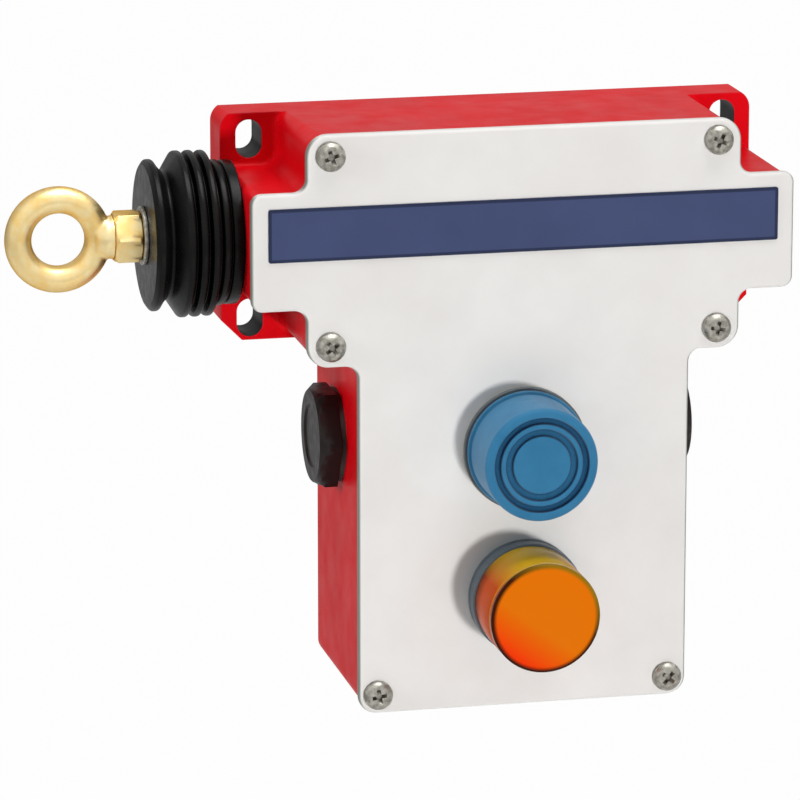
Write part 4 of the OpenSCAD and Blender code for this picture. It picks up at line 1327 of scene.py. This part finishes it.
@dataclass
class RopeEye:
    """The forged eye, with its lock nut and washer.

    The root and the bulge of the neck are counted from the ring's middle radius, and its throat
    and collar from the nut. Each is a distance, a radius and the radius of its rounded corner.
    """

    ring_r: float = 10.9
    wire_r: float = 3.7
    wire_sides: int = 32
    root: Corner = (-1.0, 4.4, 0.5)
    bulge: Corner = (2.6, 6.2, 1.8)
    throat: Corner = (-2.4, 5.2, 1.8)
    collar: Corner = (-0.4, 6.0, 0.8)
    collar_in: float = 0.2
    shank_r: float = 4.0
    shank_soft: float = 0.3
    voxel: float = 0.42
    soften_share: float = 0.5
    soften_rounds: int = 7
    nut_flats: float = 13.0
    nut_chamfer: float = 0.9
    nut_edge: float = 0.3
    washer_r: float = 8.0
    washer_soft: Corner = (0.1, 0.2, 0.35)
    hole_r: float = 4.1

    def neck(self, to_nut: float, to_end: float) -> list[Point]:
        """Gives the profile of the neck and its shank.

        Args:
            to_nut: Distance from the ring's middle to the nut.
            to_end: Distance from the ring's middle to the end of the shank.

        Returns:
            Points as height and radius.
        """
        foot, root_r, root_soft = self.root
        bulge, bulge_r, bulge_soft = self.bulge
        throat, throat_r, throat_soft = self.throat
        collar, collar_r, collar_soft = self.collar
        face = to_nut + self.collar_in
        return rounded([(self.ring_r + foot, 0.0, 0.0), (self.ring_r + foot, root_r, root_soft),
                        (self.ring_r + bulge, bulge_r, bulge_soft),
                        (to_nut + throat, throat_r, throat_soft),
                        (to_nut + collar, collar_r, collar_soft), (face, collar_r, 0.0),
                        (face, self.shank_r, 0.0), (to_end, self.shank_r, self.shank_soft),
                        (to_end, 0.0, 0.0)], steps=6)

    def forging(self, shop: Workshop) -> None:
        """Forges the ring and its neck into one piece.

        Args:
            shop: The workshop that finishes it.
        """
        low, high = corner_of("eyebolt")
        centre = low.x + self.ring_r + self.wire_r
        depth = -(low.y + high.y) / 2
        to_nut = corner_of("lock_nut")[0].x - centre
        turns = (2 * math.pi * k / self.wire_sides for k in range(self.wire_sides))
        ring = [(self.wire_r * math.sin(a), self.ring_r + self.wire_r * math.cos(a))
                for a in turns]
        mesh = lathe_mesh(ring, sides=96)
        mesh.transform(facing(centre, depth, 0.0))
        stem = lathe_mesh(self.neck(to_nut, high.x - centre), sides=64)
        stem.transform(outward(centre, depth, 0.0, 1))
        spare = bpy.data.meshes.new("stem")
        stem.to_mesh(spare)
        stem.free()
        mesh.from_mesh(spare)
        bpy.data.meshes.remove(spare)
        blank = place_mesh("blank", mesh, ORIGIN)
        fuse = blank.modifiers.new("fuse", "REMESH")
        fuse.mode = "VOXEL"
        fuse.voxel_size = self.voxel * MM
        soften = blank.modifiers.new("soften", "SMOOTH")
        soften.factor = self.soften_share
        soften.iterations = self.soften_rounds
        eye = place_mesh("forged_rope_eye", settle(blank), ORIGIN, sharp=80.0)
        shop.fit(eye, Slot.YELLOW_ZINC, "pull_rod", "eyebolt")

    def nut(self, shop: Workshop) -> None:
        """Turns the lock nut, chamfered at both ends.

        Args:
            shop: The workshop that finishes it.
        """
        low, high = corner_of("lock_nut")
        depth = -(low.y + high.y) / 2
        height = high.x - low.x
        corner = self.nut_flats / math.sqrt(3)
        stations = (0.0, self.nut_edge, self.nut_chamfer, height / 2, height - self.nut_chamfer,
                    height - self.nut_edge, height)
        profile = [(0.0, self.hole_r), *((h, corner) for h in stations), (height, self.hole_r)]
        reach = hexagon(self.nut_flats, height - self.nut_chamfer, height, both=True)
        nut = lathe_mesh(profile, sides=120, reach=reach)
        piece = place_mesh("chamfered_lock_nut", nut, outward(high.x, depth, 0.0, -1), sharp=25.0)
        shop.fit(piece, Slot.YELLOW_ZINC, "pull_rod", "lock_nut")

    def washer(self, shop: Workshop) -> None:
        """Presses the washer behind the nut, on the nut's own axis.

        Args:
            shop: The workshop that finishes it.
        """
        nut_low, nut_high = corner_of("lock_nut")
        depth = -(nut_low.y + nut_high.y) / 2
        low, high = corner_of("rod_washer")
        thick = high.x - low.x
        bore, back, front = self.washer_soft
        ring = rounded([(0.0, self.hole_r, bore), (0.0, self.washer_r, back),
                        (thick, self.washer_r, front), (thick, self.hole_r, bore)], steps=4)
        place = outward(high.x, depth, 0.0, -1)
        washer = place_mesh("pressed_washer", lathe_mesh(ring, sides=72), place)
        shop.fit(washer, Slot.ZINC, "pull_rod", "rod_washer")

    def build(self, shop: Workshop) -> None:
        """Makes the eye, the nut and the washer.

        Args:
            shop: The workshop that finishes them.
        """
        self.forging(shop)
        self.nut(shop)
        self.washer(shop)


@dataclass
class ResetUnit:
    """The silicone boot over the reset button, with two ring grooves in its front.

    A groove is given as its outer and its inner radius, and a low value says how far a ring or the
    disc lies below the front.
    """

    foot_r: float = 16.4
    foot_t: float = 1.4
    foot_soft: Point = (0.3, 0.5)
    step_up: float = 0.5
    step_soft: float = 0.4
    side_r: float = 15.6
    shoulder_r: float = 2.2
    inner_r: float = 14.0
    inner_soft: float = 0.8
    roof: float = 1.6
    outer_groove: Point = (13.1, 11.3)
    inner_groove: Point = (10.0, 7.9)
    groove_depth: float = 1.3
    groove_lean: float = 0.2
    groove_soft: Point = (0.5, 0.35)
    ring_low: float = 0.15
    disc_low: float = 0.3
    disc_edge: float = 0.9
    disc_middle: float = 3.0

    def profile(self, length: float) -> list[Point]:
        """Gives the boot's profile, with points across its flat disc that keep it flat in light.

        Args:
            length: Length of the boot.

        Returns:
            Points as height and radius.
        """
        floor = length - self.groove_depth
        ring, disc = length - self.ring_low, length - self.disc_low
        lip_soft, floor_soft = self.groove_soft
        corners: list[Corner] = [
            (0.0, self.inner_r, 0.0), (0.0, self.foot_r, self.foot_soft[0]),
            (self.foot_t, self.foot_r, self.foot_soft[1]),
            (self.foot_t + self.step_up, self.side_r, self.step_soft),
            (length, self.side_r, self.shoulder_r)]
        for outer, inner, before, after in ((*self.outer_groove, length, ring),
                                            (*self.inner_groove, ring, disc)):
            corners += [(before, outer, lip_soft), (floor, outer - self.groove_lean, floor_soft),
                        (floor, inner + self.groove_lean, floor_soft), (after, inner, lip_soft)]
        corners += [(disc, self.inner_groove[1] - self.disc_edge, 0.0),
                    (disc, self.disc_middle, 0.0), (disc, 0.0, 0.0),
                    (length - self.roof, 0.0, 0.0),
                    (length - self.roof, self.inner_r, self.inner_soft)]
        return rounded(corners, steps=5)

    def build(self, shop: Workshop) -> None:
        """Moulds the boot.

        Args:
            shop: The workshop that finishes it.
        """
        low, high = corner_of("reset_boot")
        middle = (low + high) / 2
        mesh = lathe_mesh(self.profile(high.y - low.y), sides=112)
        place = facing(middle.x, -high.y, middle.z)
        boot = place_mesh("silicone_boot", mesh, place, sharp=60.0)
        shop.fit(boot, Slot.BOOT, "", "reset_boot")
        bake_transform(boot)


@dataclass
class PilotLight:
    """The bezel and the amber lens of the pilot light.

    A soft value is the radius of a rounded corner. The bezel's groove is given by where it starts
    and ends on the bezel, how far its flanks lean and how deep it is.
    """

    back: float = 64.0
    line_at: float = 80.4
    line_half: float = 0.4
    line_deep: float = 0.2
    face_r: float = 0.7
    face_flat: float = 0.4
    face_middle: float = 6.0
    wall: float = 1.6
    spigot_soft: float = 0.2
    lens_soft: float = 0.15
    inner_soft: float = 0.6
    groove: Point = (1.4, 2.2)
    groove_lean: float = 0.2
    groove_depth: float = 0.35
    groove_soft: Point = (0.15, 0.1)
    bezel_soft: Corner = (0.3, 0.7, 0.2)
    bezel_inner_r: float = 13.6
    rebate: float = 1.6
    tube_r: float = 11.0
    tube_soft: float = 0.3
    tube_bore_r: float = 8.65

    def lens(self, shop: Workshop) -> None:
        """Moulds the lens: spigot, wall with a fine line in it, and a flat face.

        Args:
            shop: The workshop that finishes it.
        """
        low, high = corner_of("pilot_lens")
        outer = (high.x - low.x) / 2
        middle = (low + high) / 2
        start = -high.y - self.back
        length = -low.y - self.back
        line = self.line_at - self.back
        inner = outer - 2 * self.wall
        spigot = outer - self.wall
        profile = rounded([
            (start, inner, 0.0), (start, spigot, self.spigot_soft), (0.0, spigot, 0.0),
            (0.0, outer, self.lens_soft), (line - self.line_half, outer, 0.0),
            (line, outer - self.line_deep, 0.0), (line + self.line_half, outer, 0.0),
            (length, outer, self.face_r), (length, outer - self.face_r - self.face_flat, 0.0),
            (length, self.face_middle, 0.0), (length, 0.0, 0.0), (length - self.wall, 0.0, 0.0),
            (length - self.wall, inner, self.inner_soft)], steps=6)
        place = facing(middle.x, self.back, middle.z)
        lens = place_mesh("amber_lens", lathe_mesh(profile, sides=112), place, sharp=50.0)
        shop.fit(lens, Slot.LENS, "housing", "pilot_lens")

    def bezel(self, shop: Workshop) -> None:
        """Moulds the bezel with its fine groove and its threaded tube behind the cover.

        Args:
            shop: The workshop that finishes it.
        """
        low, high = corner_of("pilot_bezel")
        middle = (low + high) / 2
        front = -corner_of("front_cover")[0].y
        outer = (high.x - low.x) / 2
        length = self.back - front
        back = -high.y - front
        (first, last), lean = self.groove, self.groove_lean
        lip_soft, floor_soft = self.groove_soft
        foot_soft, rim_soft, bore_soft = self.bezel_soft
        floor = outer - self.groove_depth
        profile = rounded([
            (back, self.tube_bore_r, 0.0), (back, self.tube_r, self.tube_soft),
            (0.0, self.tube_r, 0.0), (0.0, outer, foot_soft), (first, outer, lip_soft),
            (first + lean, floor, floor_soft), (last - lean, floor, floor_soft),
            (last, outer, lip_soft), (length, outer, rim_soft),
            (length, self.bezel_inner_r, bore_soft),
            (length - self.rebate, self.bezel_inner_r, 0.0),
            (length - self.rebate, self.tube_bore_r, 0.0)], steps=5)
        place = facing(middle.x, front, middle.z)
        bezel = place_mesh("pilot_bezel_ring", lathe_mesh(profile, sides=112), place)
        shop.fit(bezel, Slot.BEZEL, "housing", "pilot_bezel")

    def build(self, shop: Workshop) -> None:
        """Makes the bezel and the lens."""
        self.bezel(shop)
        self.lens(shop)


@dataclass
class BlankingPlugs:
    """The two hexagonal plugs in the side cable entries."""

    flats: float = 26.0
    head_h: float = 6.0
    chamfer: float = 2.4
    side_share: float = 0.5
    top_edge: float = 0.35
    top_slope: Point = (0.1, 1.9)
    top_in: float = 2.6
    dish_r: float = 8.6
    dish_lean: float = 0.3
    dish_depth: float = 0.5
    thread_r: float = 9.15
    thread_l: float = 9.4
    bore_r: float = 6.7
    floor_t: float = 2.0

    def profile(self) -> list[Point]:
        """Gives the plug's profile from its hollow thread to its head.

        Returns:
            Points as height and radius.
        """
        corner = self.flats / math.sqrt(3)
        top = self.head_h
        edge = top - self.chamfer
        down, inward = self.top_slope
        return [(-self.thread_l, self.bore_r), (-self.thread_l, self.thread_r),
                (0.0, self.thread_r), (0.0, corner), (edge * self.side_share, corner),
                (edge, corner), (top - self.chamfer / 2, corner), (top - self.top_edge, corner),
                (top - down, corner - inward), (top, corner - self.top_in),
                (top, self.dish_r + self.dish_lean), (top - self.dish_depth, self.dish_r),
                (top - self.dish_depth, 0.0), (-self.floor_t, 0.0), (-self.floor_t, self.bore_r)]

    def build(self, shop: Workshop) -> None:
        """Moulds both plugs.

        Args:
            shop: The workshop that finishes them.
        """
        reach = hexagon(self.flats, self.head_h - self.chamfer, self.head_h)
        for name, side in (("left", -1), ("right", 1)):
            low, high = corner_of(name + "_plug")
            middle = (low + high) / 2
            foot = (low.x + self.head_h) if side < 0 else (high.x - self.head_h)
            mesh = lathe_mesh(self.profile(), sides=120, reach=reach)
            place = outward(foot, -middle.y, middle.z, side)
            piece = place_mesh(name + "_hexagon_plug", mesh, place, sharp=25.0)
            shop.fit(piece, Slot.PLUG, "housing", name + "_plug")


@dataclass
class SpringSet:
    """The coil springs, wound as smooth helices."""

    steps: int = 28
    wire_steps: int = 3
    rod_coil_r: float = 7.7
    rod_wire_r: float = 0.9
    tension_turns: float = 8.0
    slack_turns: float = 6.0
    reset_coil_r: float = 5.4
    reset_wire_r: float = 0.7
    reset_turns: float = 3.5
    reset_drop: float = 57.0

    def wind(self, name: str, coil_r: float, wire_r: float, length: float, turns: float) -> BMesh:
        """Winds one spring round Z.

        Args:
            name: Name of the spring.
            coil_r: Radius to the middle of the wire.
            wire_r: Radius of the wire.
            length: Length over the ends.
            turns: Number of turns.

        Returns:
            The spring's mesh.
        """
        count = int(self.steps * turns)
        curve = bpy.data.curves.new(name, "CURVE")
        curve.dimensions = "3D"
        curve.bevel_depth = wire_r * MM
        curve.bevel_resolution = self.wire_steps
        curve.use_fill_caps = True
        spline = curve.splines.new("POLY")
        spline.points.add(count)
        rise = (length - 2 * wire_r) / turns
        for k, point in enumerate(spline.points):
            turn = k / self.steps
            angle = 2 * math.pi * turn
            point.co = (coil_r * math.cos(angle) * MM, coil_r * math.sin(angle) * MM,
                        (wire_r + rise * turn) * MM, 1.0)
        return settle(link(name, curve))

    def build(self, shop: Workshop) -> None:
        """Winds the springs.

        Args:
            shop: The workshop that finishes them.
        """
        for node, turns, still_low in (("tension_spring", self.tension_turns, True),
                                       ("slack_spring", self.slack_turns, False)):
            low, high = corner_of(node)
            depth = -(low.y + high.y) / 2
            mesh = self.wind(node, self.rod_coil_r, self.rod_wire_r, high.x - low.x, turns)
            piece = place_mesh("wound_" + node, mesh, outward(low.x, depth, 0.0, 1))
            shop.fit(piece, Slot.SPRING, "", node)
            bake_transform(piece)
        low, high = corner_of("reset_spring")
        mesh = self.wind("reset_spring", self.reset_coil_r, self.reset_wire_r, high.y - low.y,
                         self.reset_turns)
        place = facing(0.0, -high.y, -self.reset_drop)
        piece = place_mesh("wound_reset_spring", mesh, place)
        shop.fit(piece, Slot.SPRING, "", "reset_spring")
        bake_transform(piece)


def dress_frame(frame: dict, shop: Workshop) -> None:
    """Gives every frame node that stays in view its finish.

    Args:
        frame: The loaded frame.
        shop: The workshop that holds the finishes.
    """
    for part in frame["record"]["subparts"]:
        shop.dress(frame["nodes"][part["node"]], Slot(part["material_slot"]))
        LOG.info("%s: %s", part["node"], part["material_slot"])


def main() -> None:
    """Builds the studio, the materials and each assembly in order."""
    logging.basicConfig(level=logging.INFO, format="%(name)s: %(message)s")
    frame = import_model()
    Studio().build()
    shop = Workshop()
    shop.prepare()
    dress_frame(frame, shop)
    plate = CoverPlate()
    plate.build(shop)
    CoverScrews().build(shop, plate)
    Bellows().build(shop)
    RopeEye().build(shop)
    ResetUnit().build(shop)
    PilotLight().build(shop)
    BlankingPlugs().build(shop)
    SpringSet().build(shop)


if __name__ == "__main__":
    main()
